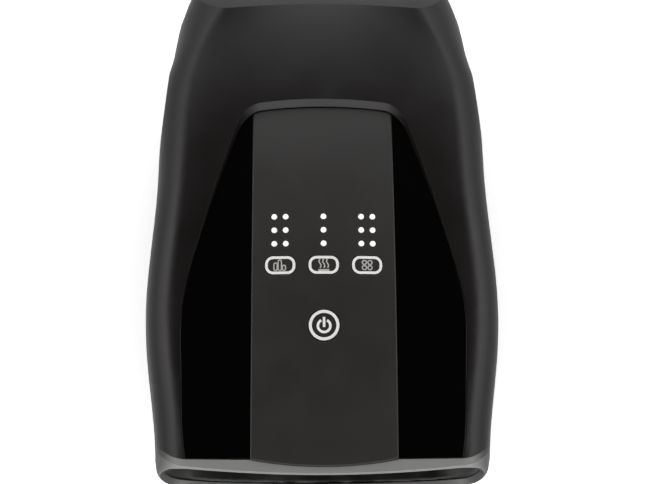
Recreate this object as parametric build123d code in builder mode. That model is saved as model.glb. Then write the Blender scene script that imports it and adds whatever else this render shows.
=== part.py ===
"""Cordless hand massager: a two-shell housing with an open mouth, a gloss control panel with push
buttons, a fabric hand pocket between air bags and a heated palm plate, and the pump that fills the bags.

Frame: +Z up, -Y towards the mouth, +X to the right of someone who looks into the mouth.
The origin is on the ground under the middle of the housing."""

from build123d import *
import math
import os

os.makedirs("parts", exist_ok=True)

# Housing, overall
body_length = 238.0
body_width = 156.2
body_height = 100.0
ground_gap = 3.0
wall = 2.4
parting_height = 50.0
seam_gap = 0.4
tongue_height = 1.8
tongue_share = 0.55
fit_gap = 0.2
rest_gap = 0.3
overrun = 20.0

# Housing, cross section
peak_y = -19.0
front_fall = 8.0
front_reach = 93.0
rear_fall = 28.0
rear_reach = 138.0
crown_radius = 235.0
crown_arc = 24.0
shoulder_radius = 18.0
shoulder_lean = 3.5
waist_share = 0.45
bilge_radius = 26.0
bilge_lean = 9.0
hull_place_shares = (-0.571, -0.437, -0.303, -0.185, -0.067, 0.084, 0.294, 0.571)
hull_width_shares = (0.895, 0.940, 0.977, 1.0, 0.976, 0.937, 0.880, 0.800)

# Housing, outline seen from above, at five heights
plan_height_shares = (-0.03, 0.18, 0.50, 0.76, 1.06)
plan_rear_shares = (0.832, 0.955, 0.985, 0.845, 0.665)
plan_rear_width_shares = (0.660, 0.790, 0.828, 0.832, 0.820)
plan_front_shares = (0.940, 0.998, 0.996, 0.980, 0.955)
plan_front_width_shares = (0.733, 0.845, 0.942, 0.903, 0.830)
plan_side_share = 1.024
widest_y = -38.0
rear_bow = 9.0
front_bow = 6.0
rear_corner_radius = 26.0
front_corner_radius = 12.0

# Mouth and its trim ring
trim_depth = 5.4
trim_bow = 2.5
trim_width = 4.8
trim_lip = 1.6
mouth_bottom = 27.0
mouth_corner_radius = 20.0
mouth_place_share = -0.475

# Control panel and its recess
panel_thickness = 2.0
panel_recess = 3.7
panel_gap = 0.25
panel_arch_y = 45.0
panel_arch_lean = 1.1
panel_side_lean = 0.5
panel_corner_radius = 13.0
panel_reach_shares = (-0.55, 0.30)
panel_steps = 8
recess_start_y = -38.0
recess_reach = 12.0
panel_place_shares = (0.33, 0.25, 0.157, 0.074, -0.024, -0.111, -0.168, -0.218, -0.328, -0.437, -0.551)
panel_width_shares = (0.265, 0.353, 0.457, 0.549, 0.648, 0.731, 0.777, 0.790, 0.785, 0.771, 0.760)
strip_rear_half_width = 29.9
strip_front_half_width = 31.6
strip_end_share = -0.4605
strip_nose = 3.2
strip_rise = 0.5
strip_bed = 0.8
strip_gap = 0.15
strip_edge = 0.4

# Buttons and light dots
power_y = -53.4
power_radius = 6.9
function_y = -27.4
function_pitch = 18.6
function_length = 13.2
function_width = 8.1
function_corner = 3.4
button_gap = 0.3
button_travel = 0.5
flange_width = 1.2
flange_thickness = 1.0
stem_radius = 1.7
dot_radius = 1.2
dot_rows = (-17.9, -11.9, -5.9)
dot_columns = (-21.1, -16.2, 0.0, 16.2, 21.1)
dot_gap = 0.1
dot_turn = 45.0
guide_bar = 1.2
guide_lift = 1.6
guide_margin = 0.9
window_margin = 0.4

# Control board under the roof
board_thickness = 1.6
board_room = 7.4
control_board_width = 64.0
control_board_front_y = -66.0
control_board_rear_y = 1.0
switch_side = 6.0
switch_height = 3.5
plunger_radius = 1.5
plunger_length = 2.2
plunger_rise = 1.1
plunger_gap = 0.1
chip_length = 2.0
chip_width = 1.3
chip_height = 0.8
boss_radius = 3.4
board_boss_inset = 4.0
screw_radius = 1.1
screw_head_radius = 2.1
screw_head_height = 1.4
screw_grip = 5.0
connector_length = 10.0
connector_width = 5.0
connector_height = 3.6

# Battery cells and their holder
cell_radius = 9.2
cell_length = 65.0
cell_pitch = 19.4
cell_gap = 0.3
battery_y = -52.0
holder_wall = 1.8
holder_height_share = 0.55
cell_cap_radius = 3.0
cell_cap_height = 1.0

# Hand pocket, from the palm plate up to the bag frame
palm_plate_thickness = 2.0
palm_plate_inset = 5.0
palm_plate_corner = 14.0
knob_radius = 6.0
knob_height = 3.2
knob_pitch = 19.0
knob_rows = 6
knob_columns = 4
film_thickness = 0.4
film_inset = 10.0
plate_post_rows = (-72.0, 58.0)
plate_post_inset = 6.0
liner_thickness = 1.6
side_room = 21.1
rear_room = 49.0
flare_length = 32.0
flare_start = 14.0
pocket_corner_radius = 12.0
pocket_lean = 0.4
pocket_crown_share = 0.02
film_knob_gap = 0.6
frame_thickness = 2.2
frame_clearance = 1.2
skirt_width = 2.0
bag_thickness = 4.5
bag_corner_radius = 10.0
bag_inset = 1.5
bag_edge = 1.8
pad_thickness = 4.0
pad_corner_radius = 12.0
pad_edge = 1.6
pad_margin = 13.5
pad_front_gap = 4.0
pad_rear_gap = 5.0
frame_corner_radius = 12.0
pad_gap = 0.8
pad_rib_y = 11.0
pad_rib_gap = 3.0
frame_boss_rows = (-74.0, 4.0, 58.0)

# Closing bosses, feet
closing_boss_rows = (-60.0, 30.0)
closing_boss_room = 7.6
closing_boss_radius = 4.6
closing_screw_radius = 1.5
closing_head_radius = 2.8
closing_head_height = 2.0
closing_seat = 9.0
closing_grip = 12.0
foot_radius = 7.0
foot_seat = 1.0
foot_edge = 0.8
foot_place_shares = ((0.435, -0.34), (-0.435, -0.34), (0.33, 0.30), (-0.33, 0.30))

# Main board
main_board_half_width = 40.0
main_board_front_y = 4.0
main_board_rear_y = 54.0
main_board_lift = 5.0
main_chip_side = 9.0
main_chip_height = 1.4

# Charging socket
socket_width = 9.0
socket_height = 3.4
socket_length = 8.0
socket_wall = 0.5
socket_lift = 8.0
socket_tongue = 0.8
port_width = 13.0
port_height = 7.0
socket_board_half_width = 10.0
socket_board_length = 8.6
socket_post_x = 7.0
socket_room = 9.0
socket_post_radius = 2.0

# Air pump
pump_y = 85.8
pump_axis_lift = 15.4
motor_radius = 12.0
motor_length = 30.0
motor_edge = 1.2
motor_boss_radius = 3.0
motor_boss_length = 1.2
pump_start_x = -42.0
shaft_radius = 1.0
shaft_clearance = 0.05
shaft_depth = 6.0
head_radius = 13.4
head_back = 2.0
head_bore_radius = 11.2
head_frame_length = 15.0
crank_radius = 6.5
crank_thickness = 3.0
crank_clearance = 1.0
crank_pin_radius = 0.8
crank_pin_offset = 1.0
crank_pin_length = 4.6
rocker_thickness = 1.6
rocker_arm_radius = 2.4
rocker_reach = 6.6
rocker_arm_angles = (90.0, 210.0, 330.0)
rocker_gap = 0.5
diaphragm_thickness = 1.4
cup_radius = 3.4
cup_depth = 3.4
cup_taper = 12.0
nipple_radius = 1.2
pump_cap_length = 9.0
chamber_depth = 2.5
nozzle_radius = 1.15
nozzle_length = 4.0
nozzle_foot_radius = 2.6
nozzle_foot_length = 1.6
cradle_share = 0.62
saddle_thickness = 3.0
cradle_length = 16.0

# Air tubes, manifold and release valves
tube_radius = 2.0
tube_bore_radius = 1.2
valve_width = 11.0
valve_depth = 13.0
valve_height = 22.0
valve_pitch = 13.0
valve_first_x = 23.5
valve_y = 86.0
valve_plinth = 4.0
valve_foot = 3.0
core_radius = 2.5
core_clearance = 0.1
core_length = 12.0
core_travel = 1.0
manifold_depth = 12.0
manifold_height = 8.0
manifold_lift = 44.0
manifold_edge = 1.0
manifold_margin = 6.0
finger_port_x = 15.0
palm_port_x = 34.0
palm_tube_x = 47.4
palm_tube_turn_y = 76.0
palm_port_y = -12.0
tube_bend = 5.0
tube_notch = 0.5

# Leads
lead_radius = 1.2
lead_bend = 4.0
lead_side_room = 8.0

floor_height = ground_gap + wall
palm_plate_bottom = floor_height + 2 * cell_radius + 3 * cell_gap
palm_plate_top = palm_plate_bottom + palm_plate_thickness
liner_bottom = palm_plate_top + knob_height + rest_gap
pocket_half_width = body_width / 2 - side_room
liner_half_width = pocket_half_width + liner_thickness
pocket_rear_y = body_length / 2 - rear_room
liner_rear_y = pocket_rear_y + liner_thickness
mouth_y = mouth_place_share * body_length
flare_end_y = flare_length - body_length / 2
frame_front_y = flare_end_y + skirt_width
socket_front_y = body_length / 2 - wall - socket_room - socket_length
socket_board_mid_y = socket_front_y + socket_length - socket_board_length / 2


def top_height(y):
    """Height of the housing's crown line above the ground."""
    run = y - peak_y
    if run < 0:
        return body_height - front_fall * (run / front_reach) ** 2
    return body_height - rear_fall * (run / rear_reach) ** 2


def crown_drop(height, x):
    """How far a crown arc whose top is at height has fallen at x. The arcs share one axis."""
    radius = crown_radius - (body_height - height)
    return radius - math.sqrt(radius**2 - x**2)


def panel_height(y):
    """Height of the panel's middle line, which sinks into its recess towards the rear."""
    recess_share = max(0.0, (y - recess_start_y) / (panel_arch_y - recess_start_y))
    return top_height(y) - panel_recess * recess_share


def hull_half_width(y):
    """Half the housing's width at y, between the cross sections of the table."""
    rows = list(zip(hull_place_shares, hull_width_shares))
    for (start, wide), (end, narrow) in zip(rows, rows[1:]):
        if y <= end * body_length:
            along = (y / body_length - start) / (end - start)
            return (wide + (narrow - wide) * along) * body_width / 2
    return rows[-1][1] * body_width / 2


def cross_section(y, half, top, bottom, lean, keel_lean, keel_radius, corner_radius, crown_share=1.0):
    """One cross section of the housing, or of what follows it inside, on the XZ plane at y."""
    shoulder = half - lean
    keel = half - keel_lean
    waist = bottom + waist_share * (top - bottom)
    edge = top - crown_share * crown_drop(top, shoulder)
    with BuildSketch(Plane.XZ.offset(-y)) as section:
        with BuildLine():
            ThreePointArc((shoulder, edge), (half, waist), (keel, bottom))
            Line((keel, bottom), (-keel, bottom))
            ThreePointArc((-keel, bottom), (-half, waist), (-shoulder, edge))
            ThreePointArc((-shoulder, edge), (0, top), (shoulder, edge))
        make_face()
        fillet(section.vertices().group_by(Axis.Y)[0], keel_radius)
        fillet(section.vertices().group_by(Axis.Y)[-1], corner_radius)
    return section.sketch


def hull_solid(inset=0.0):
    """The housing as one long lofted tunnel, from cross sections along Y."""
    sections = []
    for place_share, width_share in zip(hull_place_shares, hull_width_shares):
        y = place_share * body_length
        half = width_share * body_width / 2 - inset
        top = top_height(y) - inset
        sections.append(
            cross_section(
                y, half, top, ground_gap + inset, shoulder_lean, bilge_lean,
                bilge_radius - inset, shoulder_radius - inset,
            )
        )
    with BuildPart() as hull:
        loft(sections)
    return hull.part


def plan_solid(front=0.0, rear=0.0, side=0.0, bow=front_bow):
    """The housing's outline from above as an upright solid that leans in over the rear.
    Each argument moves that face outwards, and a negative one inwards."""
    rows = zip(
        plan_height_shares, plan_rear_shares, plan_rear_width_shares,
        plan_front_shares, plan_front_width_shares,
    )
    sections = []
    for height_share, rear_share, rear_width_share, front_share, front_width_share in rows:
        rear_y = rear_share * body_length / 2 + rear
        rear_x = rear_width_share * body_width / 2 + side
        front_y = -front_share * body_length / 2 - front
        front_x = front_width_share * body_width / 2 + side
        wide_x = plan_side_share * body_width / 2 + side
        with BuildSketch(Plane.XY.offset(height_share * body_height)) as outline:
            with BuildLine():
                ThreePointArc((-front_x, front_y + bow), (0, front_y), (front_x, front_y + bow))
                Polyline((front_x, front_y + bow), (wide_x, widest_y), (rear_x, rear_y - rear_bow))
                ThreePointArc((rear_x, rear_y - rear_bow), (0, rear_y), (-rear_x, rear_y - rear_bow))
                Polyline((-rear_x, rear_y - rear_bow), (-wide_x, widest_y), (-front_x, front_y + bow))
            make_face()
            fillet(outline.vertices().group_by(Axis.Y)[0], front_corner_radius)
            fillet(outline.vertices().group_by(Axis.Y)[-1], rear_corner_radius + rear)
        sections.append(outline.sketch)
    with BuildPart() as plan:
        loft(sections)
    return plan.part


def below_panel(rise):
    """Everything under the panel's crowned surface, raised by rise."""
    start = panel_reach_shares[0] * body_length
    end = panel_reach_shares[1] * body_length
    step = (end - start) / panel_steps
    places = [start + step * count for count in range(panel_steps + 1)]
    crown_axis = Axis((0, 0, body_height - crown_radius), (0, 1, 0))
    with BuildPart() as envelope:
        with BuildSketch(Plane.YZ):
            with BuildLine():
                Spline(*[(y, panel_height(y) + rise) for y in places])
                Polyline(
                    (end, panel_height(end) + rise), (end, parting_height),
                    (start, parting_height), (start, panel_height(start) + rise),
                )
            make_face()
        revolve(axis=crown_axis, revolution_arc=2 * crown_arc)
    return envelope.part.rotate(crown_axis, -crown_arc)


def panel_region(gap=0.0):
    """The space over the panel and down past it, inside the recess's leaning walls."""
    sections = []
    for place_share, width_share in zip(panel_place_shares, panel_width_shares):
        y = place_share * body_length
        half = width_share * body_width / 2 - gap
        edge = panel_height(y) - crown_drop(panel_height(y), half)
        low = half - panel_side_lean * recess_reach
        high = half + panel_side_lean * recess_reach
        with BuildSketch(Plane.XZ.offset(-y)) as section:
            with BuildLine():
                Polyline(
                    (low, edge - recess_reach), (high, edge + recess_reach),
                    (-high, edge + recess_reach), (-low, edge - recess_reach), close=True,
                )
            make_face()
        sections.append(section.sketch)
    arch_height = panel_height(panel_arch_y)
    arch_y = panel_arch_y - gap
    tall = 2 * recess_reach
    with BuildPart() as region:
        loft(sections)
        with BuildSketch(Plane.YZ):
            with BuildLine():
                Polyline(
                    (arch_y - panel_arch_lean * tall, arch_height - tall),
                    (arch_y + panel_arch_lean * tall, arch_height + tall),
                    (-body_length, arch_height + tall),
                    (-body_length, arch_height - tall),
                    close=True,
                )
            make_face()
        extrude(amount=body_width, both=True, mode=Mode.INTERSECT)
        rear_face = region.faces().filter_by(lambda face: face.normal_at().Y > 0.3)
        fillet(rear_face.edges().sort_by(lambda edge: abs(edge.center().X))[-2:], panel_corner_radius)
    return region.part


def strip_prism(gap=0.0):
    """The control strip's outline from above: wider towards the mouth, where it ends in a shallow bow."""
    rear_half = strip_rear_half_width - gap
    front_half = strip_front_half_width - gap
    rear_end = body_length / 2
    front_end = strip_end_share * body_length + gap
    with BuildPart() as prism:
        with BuildSketch(Plane.XY.offset(parting_height)):
            with BuildLine():
                ThreePointArc(
                    (-front_half, front_end), (0, front_end - strip_nose), (front_half, front_end)
                )
                Polyline(
                    (front_half, front_end), (rear_half, rear_end),
                    (-rear_half, rear_end), (-front_half, front_end),
                )
            make_face()
        extrude(amount=body_height)
    return prism.part


def mouth_prism(inset, bottom, reach_front, reach_rear):
    """The mouth's outline, inset from the housing's own section there, run along Y."""
    top = top_height(mouth_y) - inset
    half = hull_half_width(mouth_y) - inset
    profile = cross_section(
        mouth_y, half, top, bottom, shoulder_lean, shoulder_lean,
        mouth_corner_radius, shoulder_radius - inset,
    )
    with BuildPart() as prism:
        extrude(profile, amount=reach_front)
        extrude(profile, amount=-reach_rear)
    return prism.part


button_places = {
    "power": (0.0, power_y),
    "intensity": (-function_pitch, function_y),
    "heat": (0.0, function_y),
    "mode": (function_pitch, function_y),
}


def button_outline(kind, grow=0.0):
    """A button's outline from above, at its own place."""
    with BuildSketch() as outline:
        with Locations(button_places[kind]):
            if kind == "power":
                Circle(power_radius + grow)
            else:
                RectangleRounded(
                    function_length + 2 * grow, function_width + 2 * grow, function_corner + grow
                )
    return outline.sketch


def dot_places():
    return [(x, y) for x in dot_columns for y in dot_rows]


def dot_seats():
    """The places of the light holes, turned so that no hole's seam meets a crown line end on."""
    return [Location((x, y, 0), (0, 0, dot_turn)) for x, y in dot_places()]


def light_groups(margin):
    """Each group of lights as its middle and its size, with a margin all round its dots."""
    middle_y = (dot_rows[0] + dot_rows[-1]) / 2
    depth = dot_rows[-1] - dot_rows[0] + 2 * (dot_radius + margin)
    groups = []
    for columns in (dot_columns[:2], dot_columns[2:3], dot_columns[3:]):
        width = columns[-1] - columns[0] + 2 * (dot_radius + margin)
        groups.append(((columns[0] + columns[-1]) / 2, middle_y, width, depth))
    return groups


def tube(points, radius, bend, bore=0.0):
    """A tube along straight runs joined by tangent arcs."""
    with BuildPart() as pipe:
        with BuildLine() as route:
            if len(points) > 2:
                FilletPolyline(*points, radius=bend)
            else:
                Line(*points)
        start = route.wires()[0] ^ 0
        with BuildSketch(start):
            Circle(radius)
            if bore:
                Circle(bore, mode=Mode.SUBTRACT)
        sweep()
    return pipe.part


# Shapes that several pieces are cut from
hull = hull_solid()
with BuildPart() as body:
    add(hull)
    add(plan_solid(), mode=Mode.INTERSECT)
with BuildPart() as inside:
    add(hull_solid(wall))
    add(plan_solid(front=-trim_depth - wall, rear=-wall, side=-wall, bow=trim_bow), mode=Mode.INTERSECT)
panel_bed = panel_region()
panel_under = below_panel(-panel_thickness)
roof_under = below_panel(-panel_thickness - wall)
trim_back = plan_solid(front=-trim_depth, bow=trim_bow)
mouth_outer = mouth_prism(
    trim_width - trim_lip, mouth_bottom - trim_lip, overrun, overrun - trim_depth
)

board_top = panel_height(power_y) - panel_thickness - wall - board_room
board_bottom = board_top - board_thickness
plunger_top = board_top + switch_height + plunger_rise
frame_top = (
    top_height(liner_rear_y) - wall
    - crown_drop(top_height(liner_rear_y), liner_half_width) - frame_clearance
)
frame_bottom = frame_top - frame_thickness
bag_bottom = frame_bottom - bag_thickness
pad_bottom = bag_bottom - pad_thickness
liner_top = pad_bottom + liner_thickness


def closing_places():
    return [
        (side * (hull_half_width(y) - closing_boss_room), y)
        for y in closing_boss_rows for side in (-1, 1)
    ]


def frame_boss_places():
    x = liner_half_width - skirt_width - boss_radius
    return [(side * x, y) for y in frame_boss_rows for side in (-1, 1)]


def control_boss_places():
    x = control_board_width / 2 - board_boss_inset
    rows = (control_board_front_y + board_boss_inset, control_board_rear_y - board_boss_inset)
    return [(side * x, y) for y in rows for side in (-1, 1)]


def main_boss_places():
    x = main_board_half_width - board_boss_inset
    rows = (main_board_front_y + board_boss_inset, main_board_rear_y - board_boss_inset)
    return [(side * x, y) for y in rows for side in (-1, 1)]


def plate_post_places():
    x = pocket_half_width - palm_plate_inset - plate_post_inset
    return [(side * x, y) for y in plate_post_rows for side in (-1, 1)]


def foot_places():
    return [(x * body_width / 2, y * body_length) for x, y in foot_place_shares]


with BuildPart() as pocket_cut:
    add(panel_bed)
    add(panel_under, mode=Mode.SUBTRACT)


# Space in front of the covers at the mouth, which the trim ring fills
with BuildPart() as trim_space:
    add(mouth_prism(-overrun, mouth_bottom - trim_width, overrun, overrun))
    add(trim_back, mode=Mode.SUBTRACT)


# Bed of the control strip, cut into the gloss panel and into the trim ring
strip_under = below_panel(-strip_bed)
strip_top = below_panel(strip_rise)
with BuildPart() as strip_bed_cut:
    add(strip_prism())
    add(strip_under, mode=Mode.SUBTRACT)


# Trim ring: a moulded frame that closes the joint between the two covers and the fabric
with BuildPart() as mouth_trim:
    add(body.part)
    add(trim_space.part, mode=Mode.INTERSECT)
    add(mouth_prism(trim_width, mouth_bottom, overrun, overrun), mode=Mode.SUBTRACT)
    add(strip_bed_cut.part, mode=Mode.SUBTRACT)
mouth_trim.part.label = "mouth_trim"
export_step(mouth_trim.part, "parts/mouth_trim.step")


# Tongue: half the wall thick, it stands on the bottom cover and keys into the top cover
with BuildPart() as tongue_band:
    add(hull_solid(wall * tongue_share))
    split(bisect_by=Plane.XY.offset(parting_height), keep=Keep.TOP)
    split(bisect_by=Plane.XY.offset(parting_height + tongue_height), keep=Keep.BOTTOM)
    add(
        plan_solid(front=-wall * tongue_share, rear=-wall * tongue_share, side=-wall * tongue_share),
        mode=Mode.INTERSECT,
    )


# Top cover: the crowned roof with the panel's recess, its bosses hanging under it
with BuildPart() as panel_shell:
    add(panel_region(-wall))
    add(roof_under, mode=Mode.SUBTRACT)
with BuildPart() as top_void:
    add(inside.part)
    split(bisect_by=Plane.XY.offset(parting_height - overrun), keep=Keep.TOP)
    add(panel_shell.part, mode=Mode.SUBTRACT)
    with BuildSketch(Plane.XY.offset(board_top)):
        with Locations(control_boss_places()):
            Circle(boss_radius)
    extrude(amount=overrun, mode=Mode.SUBTRACT)
    with BuildSketch(Plane.XY.offset(frame_top)):
        with Locations(frame_boss_places()):
            Circle(boss_radius)
    extrude(amount=2 * overrun, mode=Mode.SUBTRACT)
    with BuildSketch(Plane.XY.offset(parting_height)):
        with Locations(closing_places()):
            Circle(closing_boss_radius)
    extrude(amount=body_height, mode=Mode.SUBTRACT)
with BuildPart() as top_holes:
    with BuildSketch(Plane.XY.offset(parting_height)):
        with Locations(closing_places()):
            Circle(closing_screw_radius)
    extrude(amount=closing_grip + fit_gap)
    with BuildSketch(Plane.XY.offset(frame_top)):
        with Locations(frame_boss_places()):
            Circle(screw_radius)
    extrude(amount=screw_grip + fit_gap)
    with BuildSketch(Plane.XY.offset(board_top)):
        with Locations(control_boss_places()):
            Circle(screw_radius)
    extrude(amount=screw_grip + fit_gap)
with BuildPart() as top_cover:
    add(body.part)
    split(bisect_by=Plane.XY.offset(parting_height + seam_gap), keep=Keep.TOP)
    add([pocket_cut.part, trim_space.part, mouth_outer], mode=Mode.SUBTRACT)
    add([top_void.part, tongue_band.part], mode=Mode.SUBTRACT)
    add(top_holes.part, mode=Mode.SUBTRACT)
    with BuildSketch(Plane.XY.offset(board_top + screw_grip)):
        for kind in button_places:
            add(button_outline(kind, button_gap))
        for x, y, width, depth in light_groups(window_margin):
            with Locations((x, y)):
                Rectangle(width, depth)
    extrude(amount=overrun, mode=Mode.SUBTRACT)
top_cover.part.label = "top_cover"
export_step(top_cover.part, "parts/top_cover.step")


# Bottom cover: the tray that carries the cells, the main board, the pump and the palm plate
socket_board_bottom = floor_height + socket_lift
socket_board_top = socket_board_bottom + board_thickness
socket_height_mid = socket_board_top + socket_height / 2
main_board_bottom = floor_height + main_board_lift
main_board_top = main_board_bottom + board_thickness
pump_height = floor_height + pump_axis_lift
head_end_x = pump_start_x + motor_length + head_frame_length
cap_start_x = head_end_x + diaphragm_thickness
cap_end_x = cap_start_x + pump_cap_length
valve_xs = (valve_first_x, valve_first_x + valve_pitch)
valve_bottom = floor_height + valve_plinth
valve_top = valve_bottom + valve_height
holder_half_length = cell_length / 2 + cell_gap + holder_wall
holder_half_depth = cell_pitch / 2 + cell_radius + cell_gap + holder_wall
closing_seat_height = parting_height - closing_seat
with BuildPart() as bottom_fittings:
    with BuildSketch():
        with Locations(closing_places()):
            Circle(closing_boss_radius)
    extrude(amount=parting_height)
    with BuildSketch():
        with Locations(main_boss_places()):
            Circle(boss_radius)
    extrude(amount=main_board_bottom)
    with BuildSketch():
        with Locations(plate_post_places()):
            Circle(boss_radius)
    extrude(amount=palm_plate_bottom)
    with BuildSketch():
        with Locations([(side * socket_post_x, socket_board_mid_y) for side in (-1, 1)]):
            Circle(socket_post_radius)
    extrude(amount=socket_board_bottom)
    with BuildSketch():
        with Locations((valve_first_x + valve_pitch / 2, valve_y)):
            Rectangle(valve_pitch + valve_width, valve_depth)
    extrude(amount=valve_bottom)
    with BuildSketch(Plane.YZ.offset(head_end_x - saddle_thickness)):
        with Locations((pump_y, pump_height * cradle_share / 2)):
            Rectangle(2 * head_radius, pump_height * cradle_share)
        with Locations((pump_y, pump_height)):
            Circle(head_radius, mode=Mode.SUBTRACT)
    extrude(amount=saddle_thickness)
with BuildPart() as bottom_void:
    add(inside.part)
    add(bottom_fittings.part, mode=Mode.SUBTRACT)
with BuildPart() as bottom_holes:
    with BuildSketch():
        with Locations(closing_places()):
            Circle(closing_head_radius + fit_gap)
    extrude(amount=closing_seat_height)
    with BuildSketch():
        with Locations(closing_places()):
            Circle(closing_screw_radius + fit_gap)
    extrude(amount=parting_height + overrun)
    with BuildSketch(Plane.XY.offset(main_board_bottom)):
        with Locations(main_boss_places()):
            Circle(screw_radius)
    extrude(amount=-screw_grip)
    with BuildSketch(Plane.XY.offset(palm_plate_bottom)):
        with Locations(plate_post_places()):
            Circle(screw_radius)
    extrude(amount=-screw_grip)
    with BuildSketch():
        with Locations(foot_places()):
            Circle(foot_radius + fit_gap)
    extrude(amount=ground_gap + foot_seat)
    with BuildSketch(Plane.XZ.offset(-socket_front_y)):
        with Locations((0, socket_height_mid)):
            RectangleRounded(port_width, port_height, port_height / 2 - fit_gap)
    extrude(amount=-overrun)
with BuildPart() as bottom_cover:
    add(body.part)
    split(bisect_by=Plane.XY.offset(parting_height), keep=Keep.BOTTOM)
    add(tongue_band.part)
    add([trim_space.part, mouth_outer], mode=Mode.SUBTRACT)
    add(bottom_void.part, mode=Mode.SUBTRACT)
    add(bottom_holes.part, mode=Mode.SUBTRACT)
bottom_cover.part.label = "bottom_cover"
export_step(bottom_cover.part, "parts/bottom_cover.step")


# Gloss panel: a smooth moulded sheet that fills the recess
panel_front = plan_solid(front=-trim_depth - fit_gap, bow=trim_bow)
with BuildPart() as gloss_panel:
    add(below_panel(0.0))
    add(panel_under, mode=Mode.SUBTRACT)
    add(panel_region(panel_gap), mode=Mode.INTERSECT)
    add(strip_bed_cut.part, mode=Mode.SUBTRACT)
    add(panel_front, mode=Mode.INTERSECT)
    with BuildSketch(Plane.XY.offset(board_top)):
        for kind in button_places:
            add(button_outline(kind, button_gap))
        with Locations(dot_seats()):
            Circle(dot_radius + dot_gap)
    extrude(amount=overrun, mode=Mode.SUBTRACT)
gloss_panel.part.label = "gloss_panel"
export_step(gloss_panel.part, "parts/gloss_panel.step")


# Control strip: the matte plate down the middle, a little proud of the gloss panel
with BuildPart() as control_strip:
    add(strip_top)
    add(strip_under, mode=Mode.SUBTRACT)
    add(strip_prism(strip_gap), mode=Mode.INTERSECT)
    add(panel_region(panel_gap + strip_gap), mode=Mode.INTERSECT)
    top_face = control_strip.faces().filter_by(lambda face: face.normal_at().Z > 0.5)
    chamfer(top_face.edges(), strip_edge)
    with BuildSketch(Plane.XY.offset(board_top)):
        for kind in button_places:
            add(button_outline(kind, button_gap))
        with Locations(dot_seats()):
            Circle(dot_radius + dot_gap)
    extrude(amount=overrun, mode=Mode.SUBTRACT)
control_strip.part.label = "control_strip"
export_step(control_strip.part, "parts/control_strip.step")


# Push buttons: a cap flush with the strip, a flange under the roof and a stem down to the switch
flange_top = below_panel(-panel_thickness - wall - rest_gap)
flange_under = below_panel(-panel_thickness - wall - rest_gap - flange_thickness)
with BuildPart() as flange_band:
    add(flange_top)
    add(flange_under, mode=Mode.SUBTRACT)
with BuildPart() as cap_band:
    add(strip_top)
    add(flange_under, mode=Mode.SUBTRACT)
for kind in button_places:
    with BuildPart() as flange:
        add(flange_band.part)
        with BuildSketch(Plane.XY.offset(board_top)):
            add(button_outline(kind, flange_width))
        extrude(amount=overrun, mode=Mode.INTERSECT)
    with BuildPart() as button:
        add(cap_band.part)
        with BuildSketch(Plane.XY.offset(board_top)):
            add(button_outline(kind))
        extrude(amount=overrun, mode=Mode.INTERSECT)
        add(flange.part)
        with BuildSketch(Plane.XY.offset(plunger_top)):
            with Locations(button_places[kind]):
                Circle(stem_radius)
        extrude(amount=board_room - switch_height - plunger_rise - rest_gap)
    button.part.label = f"{kind}_button"
    export_step(button.part, f"parts/{kind}_button.step")


# Light guides: clear pins from the strip down to the light chips, joined by bars under the roof
chip_top = board_top + chip_height
guide_bottom = chip_top + rest_gap
with BuildPart() as light_guides:
    for x, y in dot_places():
        crown = panel_height(y) + strip_rise
        with Locations((x, y, guide_bottom)):
            Cylinder(
                dot_radius, crown - crown_drop(crown, abs(x) + dot_radius) - guide_bottom,
                align=(Align.CENTER, Align.CENTER, Align.MIN),
            )
    with BuildSketch(Plane.XY.offset(chip_top + guide_lift)):
        for x, y, width, depth in light_groups(guide_margin):
            with Locations((x, y)):
                Rectangle(width, depth)
    extrude(amount=guide_bar)
light_guides.part.label = "light_guides"
export_step(light_guides.part, "parts/light_guides.step")


# Control board with its connector, switches and light chips
def board_screws(places, seat, up):
    """Round-headed screws whose heads bear on seat, with shanks that run up or down from it."""
    side = 1 if up else -1
    with BuildPart() as screws:
        with BuildSketch(Plane.XY.offset(seat)):
            with Locations(places):
                Circle(screw_head_radius)
        extrude(amount=-side * screw_head_height)
        with BuildSketch(Plane.XY.offset(seat)):
            with Locations(places):
                Circle(screw_radius)
        extrude(amount=side * (board_thickness + screw_grip))
    return screws.part


control_mid_y = (control_board_front_y + control_board_rear_y) / 2
control_depth = control_board_rear_y - control_board_front_y
control_plug_x = -control_board_width / 2 + connector_width / 2
control_plug_y = (dot_rows[0] + dot_rows[1]) / 2
with BuildPart() as control_board:
    with BuildSketch(Plane.XY.offset(board_bottom)):
        with Locations((0, control_mid_y)):
            Rectangle(control_board_width, control_depth)
        with Locations(control_boss_places()):
            Circle(screw_radius, mode=Mode.SUBTRACT)
    extrude(amount=board_thickness)
    with BuildSketch(Plane.XY.offset(board_bottom)):
        with Locations((control_plug_x, control_plug_y)):
            Rectangle(connector_width, connector_length)
    extrude(amount=-connector_height)
control_board.part.label = "control_board"
export_step(control_board.part, "parts/control_board.step")

plunger_bore_radius = plunger_radius + plunger_gap
plunger_bottom = plunger_top - plunger_length
with BuildPart() as switch_bodies:
    with BuildSketch(Plane.XY.offset(board_top)):
        with Locations(list(button_places.values())):
            Rectangle(switch_side, switch_side)
    extrude(amount=switch_height)
    with BuildSketch(Plane.XY.offset(plunger_bottom - button_travel - rest_gap)):
        with Locations(list(button_places.values())):
            Circle(plunger_bore_radius)
    extrude(amount=overrun, mode=Mode.SUBTRACT)
switch_bodies.part.label = "switch_bodies"
export_step(switch_bodies.part, "parts/switch_bodies.step")

for kind in button_places:
    with BuildPart() as plunger:
        with BuildSketch(Plane.XY.offset(plunger_bottom)):
            with Locations(button_places[kind]):
                Circle(plunger_radius)
        extrude(amount=plunger_length)
    plunger.part.label = f"{kind}_switch_plunger"
    export_step(plunger.part, f"parts/{kind}_switch_plunger.step")

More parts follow.
